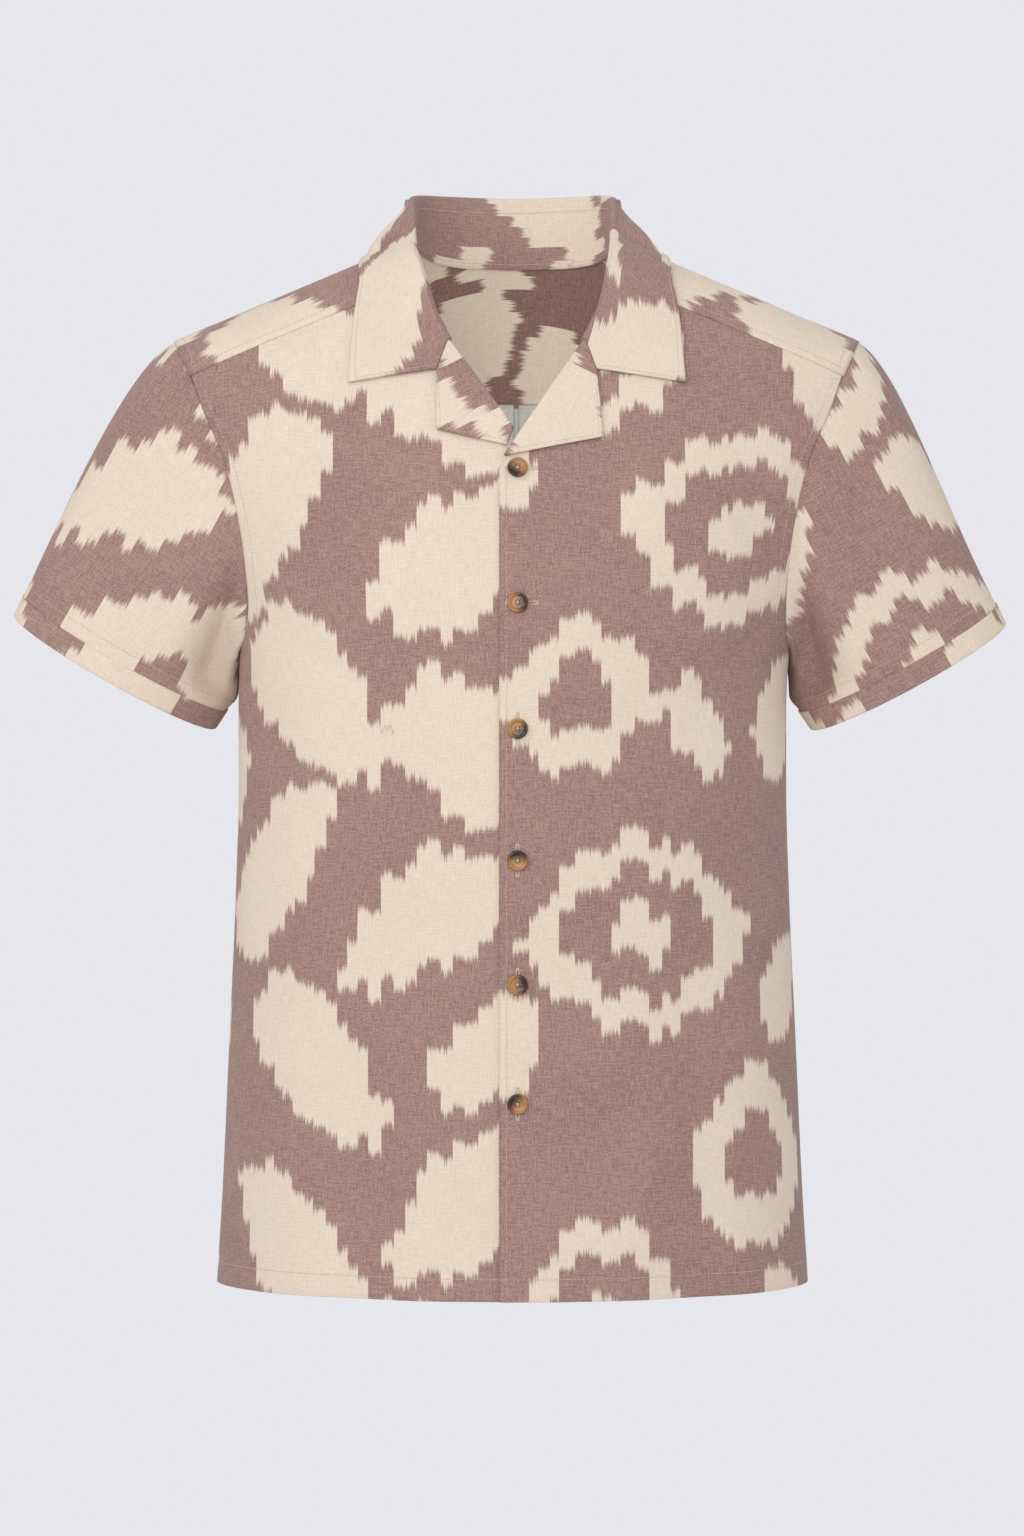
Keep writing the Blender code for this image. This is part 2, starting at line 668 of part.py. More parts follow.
def make_buttons(colour):
    """Turned discs with a raised rim and a dished face, tilted to the front they lie on."""
    half = BUTTON_THICK / 2
    profile = (
        (0.0, -half), (BUTTON_RADIUS * 0.72, -half), (BUTTON_RADIUS, -half * 0.1),
        (BUTTON_RADIUS * 0.96, half * 0.75), (BUTTON_RADIUS * 0.84, half),
        (BUTTON_RADIUS * 0.6, half * 0.35), (0.0, half * 0.2),
    )
    for number, height in enumerate(BUTTON_HEIGHTS, start=1):
        name = "button_%d" % number
        mesh = bpy.data.meshes.new(name)
        disc = bmesh.new()
        ends = [disc.verts.new((x * MM, 0, z * MM)) for x, z in profile]
        edges = [disc.edges.new(pair) for pair in zip(ends, ends[1:])]
        bmesh.ops.spin(disc, geom=ends + edges, cent=(0, 0, 0), axis=(0, 0, 1),
                       angle=2 * pi, steps=18, use_merge=True)
        bmesh.ops.remove_doubles(disc, verts=disc.verts, dist=0.01 * MM)
        bmesh.ops.recalc_face_normals(disc, faces=disc.faces)
        disc.to_mesh(mesh)
        disc.free()
        button = bpy.data.objects.new(name, mesh)
        bpy.context.collection.objects.link(button)
        mesh.materials.append(cloth_material(name + "_horn", colour))
        seat = on_front(BUTTON_X, height, "left")
        out = outward(seat)
        button.rotation_euler = out.to_track_quat("Z", "Y").to_euler()
        button.location = (seat + out * (CLOTH_WALL / 2 + SEAM_GAP + half)) * MM


for old in list(bpy.data.objects):
    bpy.data.objects.remove(old, do_unlink=True)

make_body((0.32, 0.215, 0.195))
make_sleeves((0.36, 0.25, 0.225))
make_collar((0.62, 0.5, 0.41))
make_buttons((0.16, 0.075, 0.03))
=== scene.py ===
from bisect import bisect
from functools import partial
from math import asin, copysign, cos, pi, radians, sin, sqrt
from operator import attrgetter

import bmesh
import bpy
from mathutils import Matrix, Vector


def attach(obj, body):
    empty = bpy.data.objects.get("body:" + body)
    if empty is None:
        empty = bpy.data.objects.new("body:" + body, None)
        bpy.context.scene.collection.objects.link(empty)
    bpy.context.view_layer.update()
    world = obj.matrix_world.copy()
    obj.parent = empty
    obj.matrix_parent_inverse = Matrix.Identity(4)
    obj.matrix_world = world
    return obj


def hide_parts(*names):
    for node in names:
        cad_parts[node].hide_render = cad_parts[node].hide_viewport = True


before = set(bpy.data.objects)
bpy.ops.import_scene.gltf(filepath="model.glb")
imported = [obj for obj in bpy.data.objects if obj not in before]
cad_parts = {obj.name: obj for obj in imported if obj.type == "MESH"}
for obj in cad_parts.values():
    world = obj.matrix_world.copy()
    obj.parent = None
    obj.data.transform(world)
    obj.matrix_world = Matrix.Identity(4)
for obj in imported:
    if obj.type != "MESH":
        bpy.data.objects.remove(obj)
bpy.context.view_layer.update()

# Camera. It stands three metres in front of the shirt at the height of its chest and looks at it
# straight and level through a long lens, so the shirt shows with hardly any perspective.
CAMERA_PLACE = (-0.0031, -3.0, -0.363)
CAMERA_LENS = 101.95

camera_data = bpy.data.cameras.new("studio_camera")
camera_data.lens = CAMERA_LENS
camera_data.sensor_width = 36.0
camera_data.clip_end = 30.0
camera = bpy.data.objects.new("studio_camera", camera_data)
camera.location = CAMERA_PLACE
camera.rotation_euler = (pi / 2, 0.0, 0.0)
bpy.context.collection.objects.link(camera)
bpy.context.scene.camera = camera
bpy.context.scene.view_settings.view_transform = "Standard"


# Back. One wide piece of light cotton from the yoke seam to the hem, with a box pleat folded in at
# the centre under the yoke. Its printed side faces out, and its wrong side is pale grey.
MM = 0.001
CLOTH = 0.6
FACE_HEIGHT = 0.3
TUCK = 2.6
STEP = 0.75
HEM_DEPTH = 16.0
HEM_SHARE = 0.96
HEM_FOLD = 0.4
LAYER_PITCH = 1.6
HEM_Z = -716.0
ARMPIT_Z = -283.0
YOKE_BACK_Z = -106.0
PLEAT_HALF_TOP = 18.0
PLEAT_HALF_HEM = 12.0
PLEAT_SLIT = 2.8
PLEAT_SINK = (25.0, 75.0)
PLEAT_PIT_Z = -281.0
BACK_PIT_ROW = 9
BACK_ROWS = 18
BACK_ROW_HEIGHT = (ARMPIT_Z - HEM_Z) / (BACK_ROWS - BACK_PIT_ROW)
SEAM_DIP = 0.5
ARMHOLE_SPREAD = 1.6
FOLD_TOP_Z = -330.0

# The form: z, half width, depth in front, depth at the back, power of the section.
FORM = (
    (29.7, 0.0, 42.0, 55.0, 2.0),
    (0.0, 70.4, 46.0, 60.0, 2.0),
    (-32.0, 146.2, 56.0, 79.0, 2.0),
    (-55.0, 200.7, 64.5, 89.0, 2.0),
    (-70.0, 236.3, 71.5, 95.5, 2.0),
    (-85.0, 262.0, 78.5, 100.0, 2.0),
    (-110.0, 255.0, 90.0, 106.0, 2.0),
    (-150.0, 236.0, 104.5, 113.0, 2.0),
    (-185.0, 220.5, 113.0, 116.5, 2.0),
    (-219.0, 207.5, 120.0, 117.0, 2.0),
    (-253.0, 196.0, 125.0, 116.5, 2.0),
    (-275.0, 190.4, 127.0, 115.5, 2.0),
    (-283.0, 188.9, 127.3, 115.0, 2.0),
    (-300.0, 188.2, 127.6, 114.0, 2.0),
    (-370.0, 188.0, 127.5, 111.5, 2.0),
    (-450.0, 190.0, 126.5, 110.0, 1.97),
    (-550.0, 194.5, 125.0, 111.0, 1.93),
    (-650.0, 199.0, 125.0, 113.5, 1.9),
    (-716.0, 203.0, 125.0, 115.0, 1.9),
)

# The armhole: z, x on the front panel, x on the back panel.
ARMHOLE = (
    (-97.0, 222.0, 228.5),
    (-106.0, 218.0, 226.0),
    (-127.0, 209.5, 219.0),
    (-151.0, 199.0, 211.0),
    (-185.0, 190.0, 202.0),
    (-219.0, 184.5, 195.0),
    (-253.0, 182.0, 190.0),
    (-275.0, 184.5, 187.6),
    (-283.0, 188.9, 188.9),
)

# Soft folds of the body below the chest: side, x, half width, height; positive stands out.
BODY_FOLDS = (
    (-1, 158.0, 20.0, 2.6),
    (-1, 118.0, 24.0, -2.4),
    (-1, 78.0, 26.0, 1.6),
    (-1, -152.0, 22.0, 2.8),
    (-1, -106.0, 26.0, -2.2),
    (-1, -64.0, 22.0, 1.3),
    (1, 150.0, 22.0, 3.0),
    (1, 104.0, 26.0, -2.6),
    (1, 60.0, 20.0, 1.6),
    (1, -146.0, 24.0, 2.6),
    (1, -98.0, 24.0, -2.8),
    (1, -56.0, 20.0, 1.8),
)

# Creases of the body: side, x and z of one end, x and z of the other, half width, height.
BODY_CREASES = (
    (-1, 172.0, -262.0, 128.0, -312.0, 9.0, -1.1),
    (-1, 176.0, -290.0, 140.0, -352.0, 10.0, 0.9),
    (-1, -168.0, -258.0, -118.0, -300.0, 9.0, -1.2),
    (-1, -172.0, -286.0, -132.0, -346.0, 11.0, 0.8),
    (-1, 148.0, -118.0, 160.0, -196.0, 12.0, -0.9),
    (-1, -150.0, -122.0, -166.0, -204.0, 12.0, -1.0),
    (-1, 30.0, -250.0, 78.0, -232.0, 7.0, -0.5),
    (-1, 20.0, -505.0, 70.0, -520.0, 8.0, -0.5),
    (-1, -60.0, -470.0, -128.0, -452.0, 9.0, -0.6),
    (1, 168.0, -252.0, 108.0, -300.0, 11.0, -1.6),
    (1, 172.0, -288.0, 122.0, -356.0, 12.0, 1.2),
    (1, -166.0, -250.0, -112.0, -306.0, 11.0, -1.5),
    (1, -170.0, -290.0, -126.0, -350.0, 12.0, 1.1),
    (1, 60.0, -118.0, 74.0, -210.0, 10.0, -1.0),
    (1, -66.0, -118.0, -82.0, -216.0, 10.0, -1.1),
)


class Curve:
    """A smooth run through a short table that never overshoots its values."""

    def __init__(self, keys, values):
        pairs = sorted(zip(keys, values))
        self.keys = [key for key, value in pairs]
        self.values = [value for key, value in pairs]
        spans = range(len(pairs) - 1)
        rises = [(self.values[i + 1] - self.values[i]) / (self.keys[i + 1] - self.keys[i]) for i in spans]
        inner = [2 * a * b / (a + b) if a * b > 0 else 0.0 for a, b in zip(rises, rises[1:])]
        self.slopes = [rises[0]] + inner + [rises[-1]]

    def __call__(self, key):
        key = min(max(key, self.keys[0]), self.keys[-1])
        i = min(bisect(self.keys, key), len(self.keys) - 1) - 1
        span = self.keys[i + 1] - self.keys[i]
        t = (key - self.keys[i]) / span
        start = (1 + 2 * t) * (1 - t) ** 2 * self.values[i] + t * (1 - t) ** 2 * span * self.slopes[i]
        end = t * t * (3 - 2 * t) * self.values[i + 1] + t * t * (t - 1) * span * self.slopes[i + 1]
        return start + end


def table_curves(table, columns):
    keys = [row[0] for row in table]
    return [Curve(keys, [row[column] for row in table]) for column in range(1, columns + 1)]


HALF_WIDTH, DEPTH_FRONT, DEPTH_BACK, POWER = table_curves(FORM, 4)
ARMHOLE_FRONT, ARMHOLE_BACK = table_curves(ARMHOLE, 2)


def smooth(low, high, value):
    t = min(max((value - low) / (high - low), 0.0), 1.0)
    return t * t * (3 - 2 * t)


def mix(a, b, t):
    return a + (b - a) * t


def half_width(z):
    return max(HALF_WIDTH(z), 1.0)


def lean(x, z):
    """The worn shirt hangs a little to one side below the chest."""
    return -2.8 * smooth(-250.0, -320.0, z) * min(1.0, abs(x) / half_width(z)) ** 2


def on_form(x, z, side):
    """Point of the form at x and z, on its front (side -1) or its back (side 1)."""
    power = POWER(z)
    depth = DEPTH_FRONT(z) if side < 0 else DEPTH_BACK(z)
    share = min(1.0, abs(x) / half_width(z))
    y = side * depth * (1 - share ** power) ** (1 / power)
    return Vector((x + lean(x, z), y, z))


def level(point):
    """Zero on the form and positive outside it."""
    power = POWER(point.z)
    depth = DEPTH_FRONT(point.z) if point.y < 0 else DEPTH_BACK(point.z)
    x = point.x - lean(point.x, point.z)
    width = abs(x) / half_width(point.z)
    return (width ** power + abs(point.y / depth) ** power) ** (1 / power) - 1


def gradient(point):
    step = 0.25
    parts = []
    for axis in range(3):
        offset = Vector((0, 0, 0))
        offset[axis] = step
        parts.append((level(point + offset) - level(point - offset)) / (2 * step))
    return Vector(parts)


def outward(point):
    return gradient(point).normalized()


def lift(point, height):
    return point + outward(point) * height


def bell(share):
    """1 on the middle line of a fold or crease, and hardly anything past two of its half widths."""
    return 2.718 ** -(share ** 2)


def body_fold(x, z, side):
    """Height of the folds that hang from the chest, full at the hem, and of the creases."""
    total = 0.0
    for fold_side, centre, half, height in BODY_FOLDS:
        if fold_side == side:
            total += height * bell((x - centre) / half)
    total *= smooth(FOLD_TOP_Z, HEM_Z, z)
    for crease_side, x1, z1, x2, z2, half, height in BODY_CREASES:
        if crease_side != side:
            continue
        run_x, run_z = x2 - x1, z2 - z1
        length = sqrt(run_x * run_x + run_z * run_z)
        along = ((x - x1) * run_x + (z - z1) * run_z) / length
        beside = ((x - x1) * run_z - (z - z1) * run_x) / length
        past = max(0.0, -along, along - length)
        total += height * bell(beside / half) * bell(past / (1.6 * half))
    return total


def outer_z(row, pit_row, rows, top_z):
    if row <= pit_row:
        return ARMPIT_Z + (top_z - ARMPIT_Z) * ((pit_row - row) / pit_row) ** ARMHOLE_SPREAD
    return mix(ARMPIT_Z, HEM_Z, (row - pit_row) / (rows - pit_row))


def outer_x(z, side):
    if z <= ARMPIT_Z:
        return half_width(z)
    return ARMHOLE_FRONT(z) if side < 0 else ARMHOLE_BACK(z)


def spread(share, inner_x, outer, widest):
    """Columns close up toward the side, where the section turns away."""
    turn = asin(min(1.0, outer / widest))
    return inner_x + (outer - inner_x) * sin(share * turn) / sin(turn)


def under_seam(below):
    """How far a panel's top runs up under the yoke and how deep it lies there."""
    return TUCK * (1 - smooth(0.0, 9.0, below)), -STEP * (1 - smooth(-0.6, 3.4, below))


def hemmed(v, rows, row_height):
    """Row of a panel and its height over the form, down to the hem fold and up again inside it."""
    if v <= HEM_SHARE:
        return v / HEM_SHARE * (rows - FACE_HEIGHT / row_height), FACE_HEIGHT
    part = (v - HEM_SHARE) / (1 - HEM_SHARE)
    if part < HEM_FOLD:
        turn = pi * part / HEM_FOLD
        return rows - FACE_HEIGHT * (1 - sin(turn)) / row_height, FACE_HEIGHT * cos(turn)
    rise = mix(FACE_HEIGHT, HEM_DEPTH, (part - HEM_FOLD) / (1 - HEM_FOLD))
    return rows - rise / row_height, -FACE_HEIGHT


# Shares of half the back at which the panel, its fold, the layer below and the lower fold end.
PLEAT_SHARES = (0.6, 0.7, 0.78, 0.88)


def back_half(share, row):
    """Half of the back: side (0) to centre (1), as x, its layer height, and z."""
    in_z = mix(YOKE_BACK_Z, PLEAT_PIT_Z, row / BACK_PIT_ROW)
    if row > BACK_PIT_ROW:
        in_z = mix(PLEAT_PIT_Z, HEM_Z, (row - BACK_PIT_ROW) / (BACK_ROWS - BACK_PIT_ROW))
    out_z = outer_z(row, BACK_PIT_ROW, BACK_ROWS, YOKE_BACK_Z)
    out_x = outer_x(out_z, 1)
    pleat = mix(PLEAT_HALF_TOP, PLEAT_HALF_HEM, row / BACK_ROWS)
    radius = LAYER_PITCH / 2
    panel, fold, layer, low_fold = PLEAT_SHARES
    if share <= panel:
        x = spread(1 - share / panel, PLEAT_SLIT, out_x, half_width(out_z))
        height = -1.5 * LAYER_PITCH * (1 - smooth(*PLEAT_SINK, x))
    elif share <= fold:
        turn = pi * (share - panel) / (fold - panel)
        x = PLEAT_SLIT - radius * sin(turn)
        height = -2 * radius - radius * cos(turn)
    elif share <= layer:
        x = mix(PLEAT_SLIT, pleat, (share - fold) / (layer - fold))
        height = -radius
    elif share <= low_fold:
        turn = pi * (share - layer) / (low_fold - layer)
        x = pleat + radius * sin(turn)
        height = -radius * cos(turn)
    else:
        x = pleat * (1 - share) / (1 - low_fold)
        height = radius
    return x, height, mix(in_z, out_z, x / out_x)


def back_point(across, down):
    """The back from wearer's right (-1) to left (1), with its box pleat folded at the centre."""
    row, face = hemmed(down, BACK_ROWS, BACK_ROW_HEIGHT)
    x, height, z = back_half(1 - abs(across), row)
    x = copysign(x, across)
    tuck, sunk = under_seam(YOKE_BACK_Z - z)
    side_seam = SEAM_DIP * smooth(0.985, 1.0, abs(across))
    return lift(on_form(x, z + tuck, 1), height + face + sunk - side_seam + body_fold(x, z, 1))


class Shade:
    """A socket of a material's node tree that takes part in sums and products."""

    def __init__(self, tree, socket):
        self.tree = tree
        self.socket = socket

    def node(self, kind, settings=(), out=0, **inputs):
        """Add a node: its settings first, then the values or links of its sockets."""
        made = self.tree.nodes.new(kind)
        for name, value in dict(settings).items():
            setattr(made, name, value)
        for name, value in inputs.items():
            key = int(name[1:]) if name[1:].isdigit() else name.replace("_", " ")
            if isinstance(value, Shade):
                self.tree.links.new(value.socket, made.inputs[key])
            else:
                made.inputs[key].default_value = value
        return Shade(self.tree, made.outputs[out])

    def maths(self, operation, *values):
        sockets = {"s%d" % number: value for number, value in enumerate(values)}
        return self.node("ShaderNodeMath", {"operation": operation}, **sockets)

    def __add__(self, other):
        return self.maths("ADD", self, other)

    def __sub__(self, other):
        return self.maths("SUBTRACT", self, other)

    def __mul__(self, other):
        return self.maths("MULTIPLY", self, other)

    def __radd__(self, other):
        return self.maths("ADD", other, self)

    def __rsub__(self, other):
        return self.maths("SUBTRACT", other, self)

    def __rmul__(self, other):
        return self.maths("MULTIPLY", other, self)

    def __truediv__(self, other):
        return self.maths("DIVIDE", self, other)

    def between(self, low, high):
        """0 below the low value, 1 above the high one and a soft step from one to the other."""
        return self.node("ShaderNodeMapRange", {"interpolation_type": "SMOOTHSTEP"},
                         Value=self, From_Min=low, From_Max=high)

    def blend(self, first, second):
        """The first colour where this value is 0 and the second where it is 1."""
        return self.node("ShaderNodeMix", {"data_type": "RGBA"}, out=2, s0=self, s6=first, s7=second)


def new_material(name, roughness):
    """A material, its shader node and a Shade to start from."""
    material = bpy.data.materials.new(name)
    material.use_nodes = True
    tree = material.node_tree
    shader = tree.nodes["Principled BSDF"]
    shader.inputs["Roughness"].default_value = roughness
    return material, shader, Shade(tree, None)


MAUVE = (0.444, 0.287, 0.250, 1.0)
MAUVE_DEEP = (0.268, 0.173, 0.150, 1.0)
CREAM = (0.838, 0.712, 0.597, 1.0)
CREAM_WARM = (0.734, 0.618, 0.508, 1.0)
GREY_SIDE = (0.710, 0.700, 0.675, 1.0)
GREY_SIDE_DEEP = (0.560, 0.560, 0.545, 1.0)

# The print in millimetres on the cut cloth: its repeat, the width of one dyed bundle of threads, how
# far bundles, strands and threads slip along their own length, how far the dye bleeds and creeps
# into the undyed motifs, and the shortest undyed run.
REPEAT_X = 520.0
REPEAT_Y = 640.0
BUNDLE = 8.3
BUNDLE_SLIP = 15.0
STRAND = 2.8
STRAND_SLIP = 3.6
THREAD = 0.7
THREAD_SLIP = 3.6
BLEED = 3.0
CREEP = 2.4
SHORTEST = 6.0

# The weave: noises to a millimetre across and along its threads, and the scale of its grain.
WEAVE_ACROSS = 0.85
WEAVE_ALONG = 0.11
GRAIN = 850.0

# How far and how often the bundles waver across the cloth, how round the motifs are, and the reach
# of a motif beside itself.
WAVER = 9.0
WAVERS = 0.045
RING_POWER = 2.1
EYE_POWER = 1.7
LEAF_POWER = 2.3
NO_REACH = 60.0

# Lozenge rings: centre x and y, half width and half height of the ring, of its hole and of its eye.
# An eye below the shortest run doesn't show.
LOZENGES = (
    (362.0, 84.0, 88.0, 67.0, 60.0, 41.0, 29.0, 21.0),
    (452.0, 236.0, 60.0, 64.0, 31.0, 27.0, 1.0, 1.0),
    (334.0, 330.0, 62.0, 58.0, 38.0, 32.0, 16.0, 15.0),
    (428.0, 452.0, 86.0, 66.0, 59.0, 41.0, 30.0, 21.0),
    (318.0, 566.0, 58.0, 52.0, 27.0, 23.0, 1.0, 1.0),
)

# Leaves: centre x and y, half width, half height, slope of their middle line and its bend.
LEAVES = (
    (56.0, 40.0, 62.0, 46.0, 0.55, 0.004),
    (178.0, 86.0, 62.0, 54.0, -0.80, -0.003),
    (72.0, 152.0, 72.0, 36.0, -0.45, 0.002),
    (206.0, 218.0, 60.0, 58.0, 0.90, 0.004),
    (66.0, 258.0, 64.0, 48.0, 0.50, -0.004),
    (172.0, 338.0, 68.0, 52.0, -0.55, 0.004),
    (56.0, 380.0, 62.0, 50.0, -0.40, 0.003),
    (206.0, 464.0, 60.0, 48.0, 0.75, -0.003),
    (84.0, 490.0, 68.0, 42.0, 0.45, 0.003),
    (168.0, 584.0, 62.0, 48.0, -0.65, 0.003),
    (42.0, 578.0, 48.0, 34.0, 0.60, 0.0),
    (268.0, 156.0, 28.0, 38.0, -0.60, 0.0),
    (262.0, 400.0, 28.0, 38.0, 0.60, 0.0),
    (486.0, 344.0, 34.0, 38.0, 0.60, 0.003),
    (486.0, 118.0, 34.0, 36.0, -0.60, 0.0),
    (488.0, 574.0, 38.0, 44.0, -0.50, 0.0),
    (402.0, 584.0, 28.0, 32.0, 0.60, 0.0),
)


def wrapped(value, centre, period):
    """Distance from a centre in a repeating print, between plus and minus half a repeat."""
    return value.maths("WRAP", value - centre, period / 2, -period / 2)


def cloth_material(name, roughness):
    """A cloth's material, shader and Shade, its place on the cut cloth and its weave.

    The place is the UV map and, in millimetres, its lengths across and along. The weave is three
    noises: threads down the cloth, slubs across it and a fine even grain. The first two also raise
    the surface a little.
    """
    material, shader, start = new_material(name, roughness)
    shader.inputs["Specular IOR Level"].default_value = 0.2
    cut = start.node("ShaderNodeUVMap", {"uv_map": "cut"})
    across = start.node("ShaderNodeSeparateXYZ", Vector=cut) * 1000.0
    along = start.node("ShaderNodeSeparateXYZ", out=1, Vector=cut) * 1000.0
    weave = []
    for rate_x, rate_y in ((WEAVE_ACROSS, WEAVE_ALONG), (WEAVE_ALONG, WEAVE_ACROSS)):
        place = start.node("ShaderNodeCombineXYZ", X=across * rate_x, Y=along * rate_y)
        weave.append(start.node("ShaderNodeTexNoise", Vector=place, Scale=1.0, Detail=2.0))
    raised = weave[0] * 0.5 + weave[1] * 0.6
    bump = start.node("ShaderNodeBump", Strength=0.3, Distance=0.0004, Height=raised)
    start.tree.links.new(bump.socket, shader.inputs["Normal"])
    weave.append(start.node("ShaderNodeTexNoise", Vector=cut, Scale=GRAIN, Detail=2.0))
    return material, shader, start, (cut, across, along), weave


def printed_cloth(name, dye, dye_deep):
    """Tie-dyed warp: bundles of threads step at a motif's edge and bleed along their own length."""
    material, shader, start, place, weave = cloth_material(name, 0.84)
    cut, across, along = place
    waver = start.node("ShaderNodeTexNoise", {"noise_dimensions": "1D"}, W=across * WAVERS,
                       Scale=1.0, Detail=1.0)
    uneven = across + waver * WAVER

    def slip(width, reach, seed):
        number = start.maths("FLOOR", uneven / width)
        noise = start.node("ShaderNodeTexWhiteNoise", {"noise_dimensions": "1D"}, W=number + seed)
        return (noise - 0.5) * reach

    bundle = (start.maths("FLOOR", uneven / BUNDLE) + 0.5) * BUNDLE
    slid = along + slip(BUNDLE, BUNDLE_SLIP, 5.3) + slip(STRAND, STRAND_SLIP, 31.7)
    slid = slid + slip(THREAD, THREAD_SLIP, 77.1)

    def reach(far_x, half_x, half_y, power):
        """How far a motif reaches up and down in one bundle, far below zero beside the motif."""
        run = (1 - start.maths("POWER", far_x / half_x, power)) * half_y
        return run - start.maths("LESS_THAN", run, SHORTEST) * NO_REACH

    cream = None
    for x, y, half_x, half_y, hole_x, hole_y, eye_x, eye_y in LOZENGES:
        far_x = start.maths("ABSOLUTE", wrapped(bundle, x, REPEAT_X))
        far_y = start.maths("ABSOLUTE", wrapped(slid, y, REPEAT_Y))
        outside = reach(far_x, half_x, half_y, RING_POWER) - far_y
        hole = far_y - reach(far_x, hole_x, hole_y, RING_POWER)
        eye = reach(far_x, eye_x, eye_y, EYE_POWER) - far_y
        motif = start.maths("MAXIMUM", start.maths("MINIMUM", outside, hole), eye)
        cream = motif if cream is None else start.maths("MAXIMUM", cream, motif)
    for x, y, half_x, half_y, slope, bend in LEAVES:
        far_x = wrapped(bundle, x, REPEAT_X)
        bent = slid - far_x * slope - far_x * far_x * bend
        far_y = start.maths("ABSOLUTE", wrapped(bent, y, REPEAT_Y))
        motif = reach(start.maths("ABSOLUTE", far_x), half_x, half_y, LEAF_POWER) - far_y
        cream = start.maths("MAXIMUM", cream, motif)
    mask = cream.between(CREEP - BLEED, CREEP + BLEED)

    threads, slubs, grain = weave
    cloud = start.node("ShaderNodeTexNoise", Vector=cut, Scale=16.0, Detail=3.0)
    fleck = (threads * 0.25 + slubs * 0.25 + grain * 0.4 + cloud * 0.1).between(0.40, 0.60)
    # For the inner yoke the mauves given are darker, as painted shade.
    dark = fleck.blend(dye_deep, dye)
    light = fleck.blend(CREAM_WARM, CREAM)
    colour = mask.blend(dark, light)
    start.tree.links.new(colour.socket, shader.inputs["Base Color"])
    start.tree.links.new((0.78 + slubs * 0.14).socket, shader.inputs["Roughness"])
    shader.inputs["Sheen Weight"].default_value = 0.1
    shader.inputs["Sheen Roughness"].default_value = 0.6
    return material


def plain_side():
    """The wrong side: undyed grey with the weave showing."""
    material, shader, start, place, (threads, slubs, grain) = cloth_material("cotton_wrong_side", 0.88)
    fleck = (threads * 0.3 + slubs * 0.3 + grain * 0.4).between(0.38, 0.62)
    start.tree.links.new(fleck.blend(GREY_SIDE_DEEP, GREY_SIDE).socket, shader.inputs["Base Color"])
    return material


PRINT = printed_cloth("printed_cotton", MAUVE, MAUVE_DEEP)
WRONG_SIDE = plain_side()


def add_object(name, shape, *materials):
    """An object with the mesh and materials given; the bmesh it comes from is freed."""
    mesh = bpy.data.meshes.new(name)
    shape.to_mesh(mesh)
    shape.free()
    for material in materials:
        mesh.materials.append(material)
    made = bpy.data.objects.new(name, mesh)
    bpy.context.collection.objects.link(made)
    return made


def cut_out(name, columns, rows, place, flat, ring=False, flip=False, thickness=CLOTH, sides=None):
    """A cut piece of cloth: a grid laid out by place(u, v), its print by flat(points), and a wall.

    The first of the two sides is the material outside and the second the one inside.
    """
    sheet = bmesh.new()
    cut = sheet.loops.layers.uv.new("cut")
    bmesh.ops.create_grid(sheet, x_segments=columns, y_segments=rows, size=0.5, calc_uvs=True)
    points = {}
    for vertex in sheet.verts:
        u, v = vertex.co.x + 0.5, vertex.co.y + 0.5
        points[round(u * columns), round(v * rows)] = place(u, v)
        vertex.co = points[round(u * columns), round(v * rows)] * MM
    prints = flat(points, columns, rows)
    for face in sheet.faces:
        face.smooth = True
        for loop in face.loops:
            u, v = loop[cut].uv
            across, along = prints[round(u * columns), round(v * rows)]
            loop[cut].uv = (across * MM, along * MM)
    if ring:
        bmesh.ops.remove_doubles(sheet, verts=sheet.verts, dist=0.01 * MM)
    if flip:
        bmesh.ops.reverse_faces(sheet, faces=sheet.faces)
    piece = add_object(name, sheet, *(sides or (PRINT, WRONG_SIDE)))
    wall = piece.modifiers.new("cloth_wall", "SOLIDIFY")
    wall.thickness = thickness * MM
    wall.offset = 0.0
    wall.material_offset = 1
    wall.material_offset_rim = 0
    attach(piece, "root")
    return piece


def walk(points, columns, row, start, measure):
    """Lengths along one row of a piece, counted both ways from the column called start."""
    lengths = {start: 0.0}
    for step in (1, -1):
        i = start + step
        while 0 <= i <= columns:
            lengths[i] = lengths[i - step] + measure(points[i, row] - points[i - step, row]) * step
            i += step
    return lengths


def upright(start_x, start_y):
    """Print that runs down the body: lengths round the body across it and height along it."""
    def lay(points, columns, rows):
        prints = {}
        middle = columns // 2
        for j in range(rows + 1):
            across = start_x + points[middle, j].x
            toward = copysign(1, points[columns, j].x - points[0, j].x)
            for i, length in walk(points, columns, j, middle, attrgetter("xy.length")).items():
                prints[i, j] = (across + length * toward, start_y - points[i, j].z)
        return prints
    return lay


back = cut_out("dress_back", 200, 150, lambda u, v: back_point(2 * u - 1, v), upright(140.0, 40.0))
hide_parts("back")


# Yoke and inner yoke. The yoke is cut across the grain, covers both shoulders and comes forward to a
# seam on each front. A second one lies inside it, print side in, and both are sewn to the back.
SHOULDER_RISE = 2.37
NECK_HALF_WIDTH = 70.4
YOKE_HEIGHT = FACE_HEIGHT + 0.15
LINING_DROP = 2.0
LINING_INSET = 0.4
YOKE_FRONT_DROP = 33.0
YOKE_HALF_BACK = 226.0
YOKE_HALF_FRONT = 222.0
YOKE_BULGE = 12.1
NECK_CORNER = 0.75
NECK_ROUND = 60.0
NECK_TURN = 0.42
YOKE_TURN = 0.4375

# The mauve of the print on the inner yoke is darker than outside: painted shade for the inside of the
# neck.
PAINTED_SHADE_MAUVE = (0.325, 0.198, 0.167, 1.0)
PAINTED_SHADE_MAUVE_DEEP = (0.196, 0.118, 0.100, 1.0)

